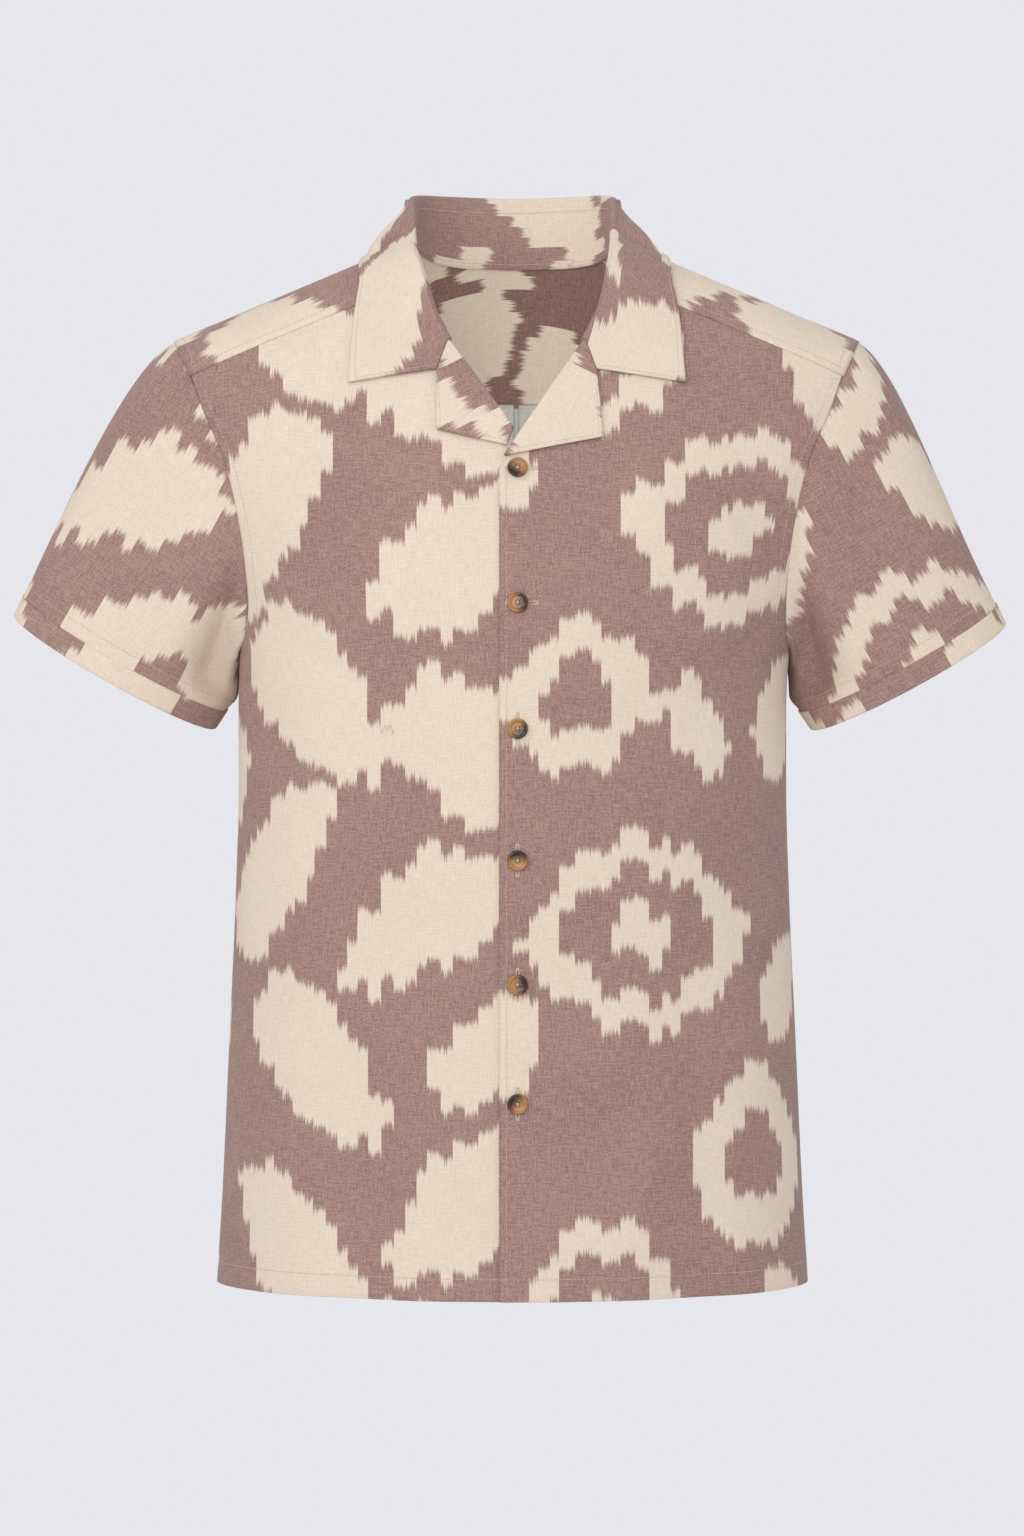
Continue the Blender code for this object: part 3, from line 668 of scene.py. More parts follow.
# The neck edge from the centre back: share of its length, x, root of the drop below the shoulder
# line. The root is positive at the back and negative in front.
NECK = (
    (0.0, 0.0, 5.18),
    (0.14, 31.0, 4.8),
    (0.28, 60.0, 3.25),
    (0.48, 73.5, 0.0),
    (0.63, 76.0, -3.0),
    (0.75, 72.0, -5.745),
    (0.875, 62.0, -7.65),
    (1.0, 46.5, -9.28),
)


def mirrored_curves(rows):
    """Curves of the columns after the first, made even about a key of 0 with the second one odd."""
    keys = [-rows[1][0]] + [row[0] for row in rows]
    signs = [0, -1] + [1] * (len(rows[0]) - 2)
    return [Curve(keys, [signs[i] * rows[1][i]] + [row[i] for row in rows]) for i in range(1, len(signs))]


NECK_X, NECK_ROOT = mirrored_curves(NECK)


def ridge_z(x):
    """Height of the shoulder line at a distance from the centre, rounded across the neck."""
    away = abs(x)
    if away < NECK_ROUND:
        away = (NECK_ROUND + x * x / NECK_ROUND) / 2
    return (NECK_HALF_WIDTH - away) / SHOULDER_RISE


def on_shoulder(x, root):
    """Point of the form by its drop below the shoulder line, given as a signed root."""
    return on_form(x, ridge_z(x) - root * root, copysign(1, root))


def yoke_armhole(part):
    """The armhole edge of the yoke from its back seam (0) over the shoulder to its front seam (1)."""
    behind, before = sqrt(ridge_z(YOKE_HALF_BACK) - YOKE_BACK_Z), -sqrt(YOKE_FRONT_DROP)
    root = mix(behind, before, part)
    bulge = YOKE_BULGE * (1 - root / behind) * (1 - root / before)
    return mix(YOKE_HALF_BACK, YOKE_HALF_FRONT, part) + bulge, root


def yoke_edges(share):
    """Neck end and outer end of one line across the yoke, each as x and signed root.

    The share runs from the centre back to the front seam. Its first part faces the back seam and the
    rest faces the armhole.
    """
    if share <= YOKE_TURN:
        part = share / YOKE_TURN
        at = NECK_TURN * part
        x = YOKE_HALF_BACK * part
        return NECK_X(at), NECK_ROOT(at), x, sqrt(ridge_z(x) - YOKE_BACK_Z)
    part = (share - YOKE_TURN) / (1 - YOKE_TURN)
    at = mix(NECK_TURN, NECK_CORNER, part)
    return NECK_X(at), NECK_ROOT(at), *yoke_armhole(part)


def yoke_point(around, out):
    """The yoke from the right front seam (-1) to the left one (1), and from the neck (0) out (1)."""
    neck_x, neck_root, outer_edge, outer_root = yoke_edges(abs(around))
    x = mix(neck_x, outer_edge, out)
    return on_shoulder(copysign(x, around), mix(neck_root, outer_root, out))


def yoke_face(around, out):
    return lift(yoke_point(around, out), YOKE_HEIGHT)


def lining_point(around, out):
    """The inner yoke, one layer in. At the neck it runs up behind the foot of the collar."""
    around = min(max(around, -0.998), 0.998)
    length = (yoke_point(around, 1.0) - yoke_point(around, 0.0)).length
    out = min(max(out, LINING_INSET / length), 1.0 - 0.2 / length)
    return lift(yoke_point(around, out), -mix(1.1, LINING_DROP, smooth(1.5, 5.0, out * length)))


def crosswise(start_x, start_y):
    """Print that runs from shoulder to shoulder, counted down both sides from the shoulder line."""
    slope = sqrt(1 + 1 / SHOULDER_RISE ** 2)

    def lay(points, columns, rows):
        prints = {}
        for key, point in points.items():
            down = Vector((point.y, ridge_z(point.x) - point.z)).length
            prints[key] = (start_x + copysign(down, point.y), start_y + point.x * slope)
        return prints
    return lay


# The inner yoke's print takes the darker mauve, which is painted shade.
INNER_PRINT_PAINTED_SHADE = printed_cloth("printed_cotton_inside_painted_shade", PAINTED_SHADE_MAUVE, PAINTED_SHADE_MAUVE_DEEP)

yoke = cut_out("dress_yoke", 160, 44, lambda u, v: yoke_face(2 * u - 1, v), crosswise(232.0, 118.0))
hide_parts("yoke")

inner_yoke = cut_out("dress_inner_yoke", 160, 44, lambda u, v: lining_point(2 * u - 1, v),
                     crosswise(38.0, 150.0), sides=(WRONG_SIDE, INNER_PRINT_PAINTED_SHADE))
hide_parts("yoke_lining")


# Fronts. Two panels of the same cotton hang from the yoke seam. The wearer's left one laps over the
# right one down the centre, where the buttons hold them.
SIDE_X = {"left": 1, "right": -1}
EDGE_X = {"left": -11.6, "right": -14.0}
YOKE_FRONT_Z = (NECK_HALF_WIDTH - YOKE_HALF_FRONT) / SHOULDER_RISE - YOKE_FRONT_DROP
OVERLAP_LIFT = 0.9
OVERLAP_FADE = (22.0, 60.0)
NECK_ROW = 4
BREAK_ROW = 9
EDGE_ROW = 10
PIT_ROW = 13
FRONT_ROWS = 24
EDGE_TOP_Z = -165.0
FRONT_ROW_HEIGHT = (EDGE_TOP_Z - HEM_Z) / (FRONT_ROWS - EDGE_ROW)

# The roll line of each front below the collar, as x, z on its own side of the shirt.
ROLL = {
    "left": ((46.5, -76.0), (19.7, -116.0), (-7.0, -156.0)),
    "right": ((46.5, -76.0), (3.5, -136.0), (8.0, -148.0)),
}
ROLL_KNEE = {"left": 0.5, "right": 0.8}


def along_roll(points, knee, t):
    """A place on a roll line whose middle point lies at the share called knee."""
    first, middle, last = points
    start, end, part = (first, middle, t / knee) if t < knee else (middle, last, (t - knee) / (1 - knee))
    return mix(start[0], end[0], part), mix(start[1], end[1], part)


def front_inner(row, hand):
    """Inner boundary of a front, as x and z: the neck edge, the roll line and the front edge."""
    edge_x, roll = EDGE_X[hand], ROLL[hand]
    if row <= NECK_ROW:
        share = mix(NECK_CORNER, 1.0, row / NECK_ROW)
        x = NECK_X(share)
        return x, ridge_z(x) - NECK_ROOT(share) ** 2
    if row <= BREAK_ROW:
        return along_roll(roll, ROLL_KNEE[hand], (row - NECK_ROW) / (BREAK_ROW - NECK_ROW))
    if row <= EDGE_ROW:
        return mix(roll[2][0], edge_x, row - BREAK_ROW), mix(roll[2][1], EDGE_TOP_Z, row - BREAK_ROW)
    return edge_x, mix(EDGE_TOP_Z, HEM_Z, (row - EDGE_ROW) / (FRONT_ROWS - EDGE_ROW))


def on_front(x, z, hand, height=0.0):
    """A point of one front: the left one laps over the right one down the centre."""
    side_x = SIDE_X[hand]
    lap = OVERLAP_LIFT * side_x * (1 - smooth(*OVERLAP_FADE, x * side_x))
    return lift(on_form(x, z, -1), height + lap + body_fold(x, z, -1))


def front_point(share, down, hand):
    """A front panel from its inner boundary (0) to the armhole and side seam (1)."""
    side_x = SIDE_X[hand]
    row, face = hemmed(down, FRONT_ROWS, FRONT_ROW_HEIGHT)
    in_x, in_z = front_inner(row, hand)
    out_z = outer_z(row, PIT_ROW, FRONT_ROWS, YOKE_FRONT_Z)
    out_x = outer_x(out_z, -1)
    x = spread(share, in_x, out_x, half_width(out_z))
    z = mix(in_z, out_z, (x - in_x) / (out_x - in_x))
    tuck, sunk = under_seam(row * 9.0)
    side_seam = SEAM_DIP * smooth(0.98, 1.0, share) * smooth(PIT_ROW - 1, PIT_ROW, row)
    return on_front(x * side_x, z + tuck, hand, face + sunk - side_seam)


def front_print(start_x, start_y):
    """Print that runs down a front, with its lengths round the body counted from the front edge."""
    def lay(points, columns, rows):
        prints = {}
        for j in range(rows + 1):
            edge = start_x + abs(points[0, j].x) * copysign(1, points[0, j].x * points[columns, j].x)
            for i, length in walk(points, columns, j, 0, attrgetter("xy.length")).items():
                prints[i, j] = (edge + length, start_y - points[i, j].z)
        return prints
    return lay


FRONT_PRINTS = {"left": (272.0, 250.0), "right": (20.0, 30.0)}
for hand in ("right", "left"):
    front = cut_out("dress_front_" + hand, 90, 225,
                    lambda u, v: front_point(u, v, hand), front_print(*FRONT_PRINTS[hand]),
                    flip=hand == "left")
    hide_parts("front_" + hand)


# Collar. A camp collar without a separate stand: it rises from the neck seam, rolls over and lies
# down over the yoke and the fronts. It is two layers of the cotton, turned and sewn at its edge.
COLLAR_CLOTH = 1.3
COLLAR_LIFT = 3.0
COLLAR_REST = (0.5, 0.58)
COLLAR_LEAN = -2.6
ROLL_RADIUS = 2.4
RISE_END = 0.2
ROLL_END = 0.4
COLLAR_COLUMNS = 48
FOOT_DROP = 3.0
TURN_COLUMN = 7
CORNER_COLUMN = 16

# The collar from the centre back: share of the neck edge, then the top of the roll, a point a third
# of the way down the fall, and the outer edge, each as x, y, z. From the shoulder forward the fall
# lies on the front, so its y is worked out from the form.
COLLAR = (
    (0.0, (0.0, 66.0, 37.5), (0.0, 75.5, 18.0), (0.0, 84.0, -30.0)),
    (0.16, (36.0, 60.0, 37.8), (41.0, 69.0, 18.0), (45.0, 79.0, -30.0)),
    (0.28, (57.5, 47.0, 37.2), (66.5, 52.0, 19.0), (80.0, 64.0, -26.0)),
    (0.34, (66.2, 35.0, 35.9), (75.0, 40.0, 19.5), (92.5, 42.0, -19.0)),
    (0.4, (70.2, 18.0, 31.6), (80.0, 21.0, 15.0), (98.5, 16.0, -12.5)),
    (0.48, (69.2, -2.0, 18.5), (83.0, -3.0, 8.0), (102.0, -8.0, -17.0)),
    (0.56, (67.4, -20.0, 2.0), (80.5, -24.0, -12.0), (105.0, -28.0, -33.0)),
    (0.63, (65.2, -31.0, -11.0), (78.5, -35.0, -27.0), (108.0, -42.0, -48.0)),
    (0.75, (60.2, -45.9, -32.5), (74.0, -49.0, -46.5), (110.5, -55.0, -69.0)),
    (0.875, (54.7, -58.6, -52.5), (66.0, -63.0, -70.0), (112.0, -66.0, -89.0)),
    (1.0, (43.9, -73.2, -74.8), (53.4, -84.0, -97.0), (113.0, -74.0, -105.5)),
)
COLLAR_ROLL, COLLAR_MID, COLLAR_EDGE = (
    mirrored_curves([(row[0], *row[part]) for row in COLLAR]) for part in (1, 2, 3)
)


def keep_clear(point, height):
    """Push a point out until it lies at least this far outside the form."""
    for _ in range(3):
        slope = gradient(point)
        short = height - level(point) / slope.length
        if short > 0:
            point = point + slope.normalized() * short
    return point


def collar_column(share):
    """The named points of one section of the collar, on the wearer's left.

    The last value is 0 behind the shoulder, where the leaf stands off, and 1 in front, where it lies
    flat with straight edges.
    """
    neck, before, after = (on_shoulder(NECK_X(at), NECK_ROOT(at)) for at in
                           (share, share - 0.01, min(share + 0.01, 1.0)))
    roll, mid, edge = (Vector([curve(share) for curve in part]) for part in
                       (COLLAR_ROLL, COLLAR_MID, COLLAR_EDGE))
    up = (roll - neck).normalized()
    out = up.cross(after - before).normalized()
    rest = smooth(COLLAR_REST[0], COLLAR_REST[1], share)
    for point in (mid, edge):
        point.y = mix(point.y, on_form(point.x, point.z, -1).y, rest)
    foot = neck - out * 2.3 - up * FOOT_DROP
    return foot, roll, mid, edge, out, up, rest


def collar_share(across):
    """Columns of the collar line up with those of the yoke and with the rows of the fronts."""
    column = across * COLLAR_COLUMNS / 2
    if column <= TURN_COLUMN:
        return NECK_TURN * column / TURN_COLUMN
    if column <= CORNER_COLUMN:
        return mix(NECK_TURN, NECK_CORNER, (column - TURN_COLUMN) / (CORNER_COLUMN - TURN_COLUMN))
    return mix(NECK_CORNER, 0.998, (column - CORNER_COLUMN) / (COLLAR_COLUMNS / 2 - CORNER_COLUMN))


def collar_point(across, down):
    """The collar from wearer's right (-1) to left (1), from the neck seam (0) to its edge (1).

    Above the shoulders it sits a little to the wearer's right.
    """
    share = collar_share(abs(across))
    foot, roll, mid, edge, out, up, rest = collar_column(share)
    centre = roll - up * ROLL_RADIUS
    if down <= RISE_END:
        point = foot.lerp(centre - out * ROLL_RADIUS, down / RISE_END)
    elif down <= ROLL_END:
        turn = pi * (down - RISE_END) / (ROLL_END - RISE_END)
        point = centre + (up * sin(turn) - out * cos(turn)) * ROLL_RADIUS
    else:
        t = (down - ROLL_END) / (1 - ROLL_END)
        top, mid, edge = centre + out * ROLL_RADIUS, lift(mid, COLLAR_LIFT), lift(edge, COLLAR_LIFT)
        swept = top * (1 - t) * (1 - 3 * t) + mid * 4.5 * t * (1 - t) + edge * t * (1.5 * t - 0.5)
        flat = top.lerp(mid, 3 * t) if t < 1 / 3 else mid.lerp(edge, 1.5 * t - 0.5)
        point = swept.lerp(flat, rest)
    side_x = copysign(1.0, across)
    point.x += side_x * COLLAR_LEAN * smooth(-50.0, 10.0, point.z) * smooth(0.0, RISE_END, down)
    if down > ROLL_END:
        point = keep_clear(point, COLLAR_LIFT)
    return Vector((side_x * point.x, point.y, point.z))


def lengthwise(start_x, start_y, line):
    """Print that runs along a strip, counted along one row of it, and across it from its first row."""
    def lay(points, columns, rows):
        prints = {}
        lengths = walk(points, columns, round(line * rows), columns // 2, attrgetter("length"))
        for i, length in lengths.items():
            width = start_x
            prints[i, 0] = (width, start_y + length)
            for j in range(1, rows + 1):
                width += (points[i, j] - points[i, j - 1]).length
                prints[i, j] = (width, start_y + length)
        return prints
    return lay


collar = cut_out("dress_collar", 240, 60, lambda u, v: collar_point(2 * u - 1, v),
                 lengthwise(106.0, 318.0, 0.7), thickness=COLLAR_CLOTH, sides=(PRINT, PRINT), flip=True)
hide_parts("collar")


# Lapels. The tops of the fronts turn back on a soft roll line and meet the collar in a notch. The
# cloth that shows on them is cut as one with the front, so its print turns with the fold.
LAPEL_LIFT = 3.0
LAPEL_ROLL = 0.2
NOTCH = (53.4, -97.0)
LAPEL_CORNER = {"left": (57.6, -143.0), "right": (53.3, -138.0)}


def lapel_point(across, down, hand):
    """A lapel from its roll line (0) to its free edge (1) and from the gorge seam (0) down."""
    side_x = SIDE_X[hand]
    row = mix(NECK_ROW, BREAK_ROW, down)
    radius = LAPEL_LIFT / 2
    roll_x, roll_z = front_inner(row, hand)
    edge_x = mix(NOTCH[0], LAPEL_CORNER[hand][0], down)
    edge_z = mix(NOTCH[1], LAPEL_CORNER[hand][1], down)
    if across >= LAPEL_ROLL:
        part = (across - LAPEL_ROLL) / (1 - LAPEL_ROLL)
        x = mix(roll_x, edge_x, part)
        z = mix(roll_z, edge_z, part)
        return on_front(x * side_x, z, hand, LAPEL_LIFT)
    start = on_front(roll_x * side_x, roll_z, hand)
    nearby = [front_inner(max(row - 0.1, NECK_ROW), hand), front_inner(min(row + 0.1, BREAK_ROW), hand)]
    before, after = (on_front(x * side_x, z, hand) for x, z in nearby)
    out = outward(start)
    inward = (after - before).cross(out).normalized() * side_x
    turn = pi * across / LAPEL_ROLL
    return start + inward * radius * sin(turn) + out * (radius - radius * cos(turn))


def turned(start_x, start_y, grain):
    """Print of a turned part: the grain of the front mirrored in the roll line."""
    tilt = radians(grain)

    def lay(points, columns, rows):
        prints = {}
        for key, point in points.items():
            across = point.x * cos(tilt) + point.z * sin(tilt)
            along = point.z * cos(tilt) - point.x * sin(tilt)
            prints[key] = (start_x + across, start_y + along)
        return prints
    return lay


LAPEL_PRINTS = {"left": (150.0, 120.0, 62.0), "right": (226.0, 214.0, -62.0)}
for hand in ("right", "left"):
    lapel = cut_out("dress_lapel_" + hand, 45, 40, lambda u, v: lapel_point(u, v, hand),
                    turned(*LAPEL_PRINTS[hand]), sides=(PRINT, PRINT), flip=hand == "left")
    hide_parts("lapel_" + hand)


# Sleeves. Short set-in sleeves, each one piece closed by a seam under the arm. The print runs down
# the sleeve, and the cloth is eased round the top of the armhole.
CUFF_DEPTH = 15.0
SLEEVE_HALF_DEPTH = 46.0
SLEEVE_CENTRE_Y = 5.0
SLEEVE_FRONT_DROP = 7.5
RING_STEPS = 31
BACK_CORNER = 22
FRONT_MIDDLE_STEPS = 6.5

# Corners of each sleeve hem seen from the front: the outer x, z and the inner x, z.
SLEEVE_HEM = {
    "left": ((336.9, -263.0), (204.1, -336.1)),
    "right": ((345.9, -257.0), (208.6, -335.4)),
}

# Soft folds along the sleeve: their place round it in half turns (1 is under the arm), half width,
# height, and where along the sleeve they start and end. The deepest lies in front beside the body,
# and under the arm the cloth sags toward the body.
SLEEVE_FOLDS = (
    (0.79, 0.08, -7.5, -0.1, 1.0),
    (0.62, 0.08, 2.4, 0.0, 1.0),
    (1.0, 0.10, 5.0, 0.0, 0.94),
    (0.38, 0.06, -1.1, 0.1, 0.9),
    (0.24, 0.07, 0.8, 0.2, 1.0),
    (1.26, 0.08, -4.0, -0.1, 1.0),
    (1.42, 0.08, 1.8, 0.0, 1.0),
    (1.66, 0.07, -1.2, 0.1, 0.9),
)

# How far each sleeve is drawn in along its outer side, and how far its front falls back beside the
# body: full depth, then the places round the sleeve where it starts and is full.
SLEEVE_DRAWN = {"left": 4.2, "right": 1.2}
FALL_BACK = (12.0, 0.62, 0.86)


def armhole_point(step, hand):
    """Round the armhole from the front yoke seam over the front, the armpit, the back and the yoke."""
    side_x = SIDE_X[hand]
    if step <= PIT_ROW:
        z = outer_z(step, PIT_ROW, FRONT_ROWS, YOKE_FRONT_Z)
        return on_form(side_x * outer_x(z, -1), z, -1)
    if step <= BACK_CORNER:
        z = outer_z(BACK_CORNER - step, BACK_PIT_ROW, BACK_ROWS, YOKE_BACK_Z)
        return on_form(side_x * outer_x(z, 1), z, 1)
    x, root = yoke_armhole((step - BACK_CORNER) / (RING_STEPS - BACK_CORNER))
    return on_shoulder(side_x * x, root)


def running_lengths(points):
    """Length along a line of points up to each of them."""
    lengths = [0.0]
    for first, second in zip(points, points[1:]):
        lengths.append(lengths[-1] + (second - first).length)
    return lengths


def armhole_angles(hand):
    """Angle round the sleeve at each armhole step: pi under the arm and 2 pi on the shoulder line."""
    lengths = running_lengths([armhole_point(step, hand) for step in range(RING_STEPS + 1)])
    length_at = Curve(range(RING_STEPS + 1), lengths)
    behind = sqrt(ridge_z(YOKE_HALF_BACK) - YOKE_BACK_Z)
    top_step = mix(BACK_CORNER, RING_STEPS, behind / (behind + sqrt(YOKE_FRONT_DROP)))
    pit, top = lengths[PIT_ROW], length_at(top_step)
    front_length = lengths[-1] - top + pit
    angles = []
    for length in lengths:
        if length < pit:
            angles.append(pi * (lengths[-1] - top + length) / front_length)
        elif length < top:
            angles.append(pi + pi * (length - pit) / (top - pit))
        else:
            angles.append(2 * pi + pi * (length - top) / front_length)
    return Curve(range(RING_STEPS + 1), angles)


ARM_ANGLE = {hand: armhole_angles(hand) for hand in ("left", "right")}


def round_arm(angle, side_x):
    """Out from the sleeve at an angle round it."""
    return Vector((side_x * cos(angle) * 0.88, -sin(angle), cos(angle) * 0.48)).normalized()


def sleeve_end(angle, hand):
    """A point of the sleeve's hem and the direction in which the cloth arrives there."""
    side_x = SIDE_X[hand]
    (out_x, out_z), (in_x, in_z) = SLEEVE_HEM[hand]
    outer = Vector((side_x * out_x, SLEEVE_CENTRE_Y, out_z))
    inner = Vector((side_x * in_x, SLEEVE_CENTRE_Y, in_z))
    half = (outer - inner) / 2
    axis = Vector((-half.z, 0, half.x)).normalized() * -side_x
    front = Vector((0, -SLEEVE_HALF_DEPTH, 0)) + axis * SLEEVE_FRONT_DROP
    point = (outer + inner) / 2 + half * cos(angle) + front * sin(angle)
    slant = radians(29.2 - 4.4 * cos(angle))
    arrive = Vector((side_x * sin(slant), 0.07 * sin(angle), -cos(slant))).normalized()
    return point, arrive


def sleeve_point(step, along, hand):
    """The sleeve from the armhole (0) to the seam of its cuff band (1)."""
    side_x = SIDE_X[hand]
    angle = ARM_ANGLE[hand](step)
    under = (1 - cos(angle)) / 2
    start = armhole_point(step, hand)
    tilt = radians(mix(24.0, 40.0, sin(pi * under)) + 6.0 * under ** 6)
    leave = Vector((side_x * cos(tilt), -0.12 * sin(angle), -sin(tilt))).normalized()
    start = start + leave * (0.95 * abs(leave.dot(outward(start))) - 0.8) - outward(start) * 0.35
    hem, arrive = sleeve_end(angle, hand)
    end = hem - arrive * (CUFF_DEPTH - 3.0)
    chord = (end - start).length
    first = start + leave * chord * mix(0.19, 0.24, under)
    second = end - arrive * chord * 0.3
    t = along
    s = 1 - t
    point = start * s ** 3 + first * 3 * t * s * s + second * 3 * t * t * s + end * t ** 3
    turn = angle % (2 * pi) / pi
    height = -SLEEVE_DRAWN[hand] * max(0.0, cos(angle)) * sin(pi * t)
    for at, half, depth, start_t, end_t in SLEEVE_FOLDS:
        ends = smooth(start_t, start_t + 0.3, t) * (1 - smooth(end_t - 0.3, end_t, t))
        height += depth * bell((turn - at) / half) * ends
    fall, fall_start, fall_full = FALL_BACK
    fall *= smooth(fall_start, fall_full, turn) * (1 - smooth(0.94, 1.15, turn))
    fall *= smooth(0.0, 0.4, t) * (1 - smooth(0.66, 0.97, t))
    point += round_arm(angle, side_x) * height + Vector((0, fall, 0))
    return keep_clear(point, 1.0) if under > 0.6 and t > 0.12 else point


def round_sleeve(u):
    """Step round the armhole at u, counted from the seam under the arm, behind first."""
    return (PIT_ROW + u * RING_STEPS) % RING_STEPS


def sleeve_print(start_x, start_y, hand):
    """Print that runs down the sleeve, square to its hem.

    It is counted both ways round from the middle of the front, so that it breaks at the seam under
    the arm.
    """
    side_x = SIDE_X[hand]
    (out_x, out_z), (in_x, in_z) = SLEEVE_HEM[hand]
    width = Vector((side_x * (out_x - in_x), 0, out_z - in_z)).normalized()
    axis = Vector((-width.z, 0, width.x)) * -side_x

    def lay(points, columns, rows):
        prints = {}
        middle = round(columns * (1 - FRONT_MIDDLE_STEPS / RING_STEPS))
        for j in range(rows + 1):
            first = start_x + points[middle, j].dot(width)
            for i, length in walk(points, columns, j, middle, lambda run: run.cross(axis).length).items():
                prints[i, j] = (first - length, start_y + points[i, j].dot(axis))
        return prints
    return lay


SLEEVE_PRINTS = {"left": (-210.0, 60.0), "right": (-60.0, 210.0)}
for hand in ("right", "left"):
    sleeve = cut_out("dress_sleeve_" + hand, 155, 72,
                     lambda u, v: sleeve_point(round_sleeve(u), v, hand),
                     sleeve_print(*SLEEVE_PRINTS[hand], hand), ring=True, flip=hand == "right")
    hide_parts("sleeve_" + hand)


# Cuff bands. Each sleeve ends in a narrow band of its own, turned up over the sleeve and pressed, so
# its upper edge stands a little proud and its print doesn't meet that of the sleeve.
BAND_CLOTH = 0.7
BAND_FOLD = 0.65

# Share of the band's cloth that each of its two faces takes, beside the fold.
BAND_FACE = 0.42

CUFF_PRINT_SHIFT = (37.0, 96.0)


def cuff_point(step, along, hand):
    """The band from its upper edge outside (0) round the sleeve's end to its upper edge inside (1)."""
    angle = ARM_ANGLE[hand](step)
    hem, arrive = sleeve_end(angle, hand)
    aside = round_arm(angle, SIDE_X[hand])
    rise = CUFF_DEPTH - BAND_FOLD
    if along <= BAND_FACE:
        return hem - arrive * (BAND_FOLD + rise * (1 - along / BAND_FACE)) + aside * BAND_FOLD
    if along >= 1 - BAND_FACE:
        return hem - arrive * (BAND_FOLD + rise * (1 - (1 - along) / BAND_FACE)) - aside * BAND_FOLD
    turn = pi * (along - BAND_FACE) / (1 - 2 * BAND_FACE)
    return hem - arrive * BAND_FOLD * (1 - sin(turn)) + aside * BAND_FOLD * cos(turn)


for hand in ("right", "left"):
    start_x, start_y = (a + b for a, b in zip(SLEEVE_PRINTS[hand], CUFF_PRINT_SHIFT))
    cuff = cut_out("dress_cuff_" + hand, 155, 25,
                   lambda u, v: cuff_point(round_sleeve(u), v, hand),
                   sleeve_print(start_x, start_y, hand),
                   ring=True, flip=hand == "right", thickness=BAND_CLOTH)
    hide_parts("cuff_" + hand)


# Sewing. Rows of small pale stitches hold the seams: along the yoke, the armholes, the front edge,
# the hem, the cuff bands, the neck and the edges of the collar and lapels.
STITCH = 2.3
STITCH_PITCH = 3.1
THREAD_RADIUS = 0.17
STITCH_SUNK = 0.05
PATH_STEPS = 80
THREAD_PALE = (0.74, 0.62, 0.52, 1.0)
THREAD_SHADE = (0.52, 0.40, 0.33, 1.0)


def thread_material():
    """Pale cotton thread with a faint twist."""
    material, shader, start = new_material("sewing_thread", 0.7)
    place = start.node("ShaderNodeTexCoord", out=3)
    twist = start.node("ShaderNodeTexNoise", Vector=place, Scale=2600.0, Detail=2.0)
    start.tree.links.new(twist.blend(THREAD_SHADE, THREAD_PALE).socket, shader.inputs["Base Color"])
    return material


THREAD_COTTON = thread_material()


def add_thread(sewn, start, end, radius):
    """One straight bit of thread from start to end."""
    run = end - start
    turn = run.to_track_quat("Z", "Y").to_matrix().to_4x4()
    bmesh.ops.create_cone(sewn, cap_ends=True, segments=6, radius1=radius * MM, radius2=radius * MM,
                          depth=run.length * MM, matrix=Matrix.Translation((start + end) / 2 * MM) @ turn)


def stitch_row(sewn, path, side, thickness):
    """Stitches along path(t) for t from 0 to 1, a little sunk in the face on that side of the cloth."""
    shares = [i / PATH_STEPS for i in range(PATH_STEPS + 1)]
    lengths = running_lengths([path(share) for share in shares])
    share_at = Curve(lengths, shares)
    count = int(lengths[-1] / STITCH_PITCH)
    for i in range(count):
        near = (i + 0.2) * lengths[-1] / count
        start, end = path(share_at(near)), path(share_at(near + STITCH))
        raised = side((start + end) / 2) * (thickness / 2 + THREAD_RADIUS - STITCH_SUNK)
        add_thread(sewn, start + raised, end + raised, THREAD_RADIUS)


def thread_object(name, sewn):
    piece = add_object(name, sewn, THREAD_COTTON)
    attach(piece, "root")


def sewn_piece(name, rows, thickness=CLOTH):
    """One object of stitches: rows is a list of (path, side)."""
    sewn = bmesh.new()
    for path, side in rows:
        stitch_row(sewn, path, side, thickness)
    thread_object(name, sewn)


YOKE_STITCH_IN = 5.0
HEM_STITCH_IN = 1.5
EDGE_STITCH_IN = 5.0
ARMHOLE_STITCH_IN = 6.0
BAND_STITCH_UP = 12.0

# The middle line of a sleeve near its hem: x, z and its slant from upright.
SLEEVE_MIDDLE = (272.0, -297.0)
SLEEVE_SLANT = radians(29.0)


def yoke_row(hand, t):
    """The row of stitches a few millimetres behind the front seam of the yoke."""
    low = yoke_face(SIDE_X[hand], mix(0.26, 0.99, t))
    return lift(on_form(low.x, low.z + YOKE_STITCH_IN, -1), YOKE_HEIGHT)


def yoke_back_row(t):
    x = mix(-YOKE_HALF_FRONT, YOKE_HALF_FRONT, t)
    return lift(on_form(x, YOKE_BACK_Z + YOKE_STITCH_IN, 1), YOKE_HEIGHT)


def hem_down(rows, row_height):
    """Share of a panel's length at which the hem stitches lie."""
    return HEM_SHARE * (1 - (HEM_DEPTH - HEM_STITCH_IN) / row_height / rows)


def armhole_row(hand, t):
    """Stitches on the body beside the front armhole seam, from the yoke to under the arm."""
    z = mix(YOKE_FRONT_Z - 4.0, ARMPIT_Z + 18.0, t)
    x = outer_x(z, -1) - ARMHOLE_STITCH_IN
    return on_front(x * SIDE_X[hand], z, hand, FACE_HEIGHT)


def armhole_back_row(hand, t):
    z = mix(YOKE_BACK_Z - 6.0, ARMPIT_Z + 18.0, t)
    x = (outer_x(z, 1) - ARMHOLE_STITCH_IN) * SIDE_X[hand]
    return lift(on_form(x, z, 1), FACE_HEIGHT + body_fold(x, z, 1))


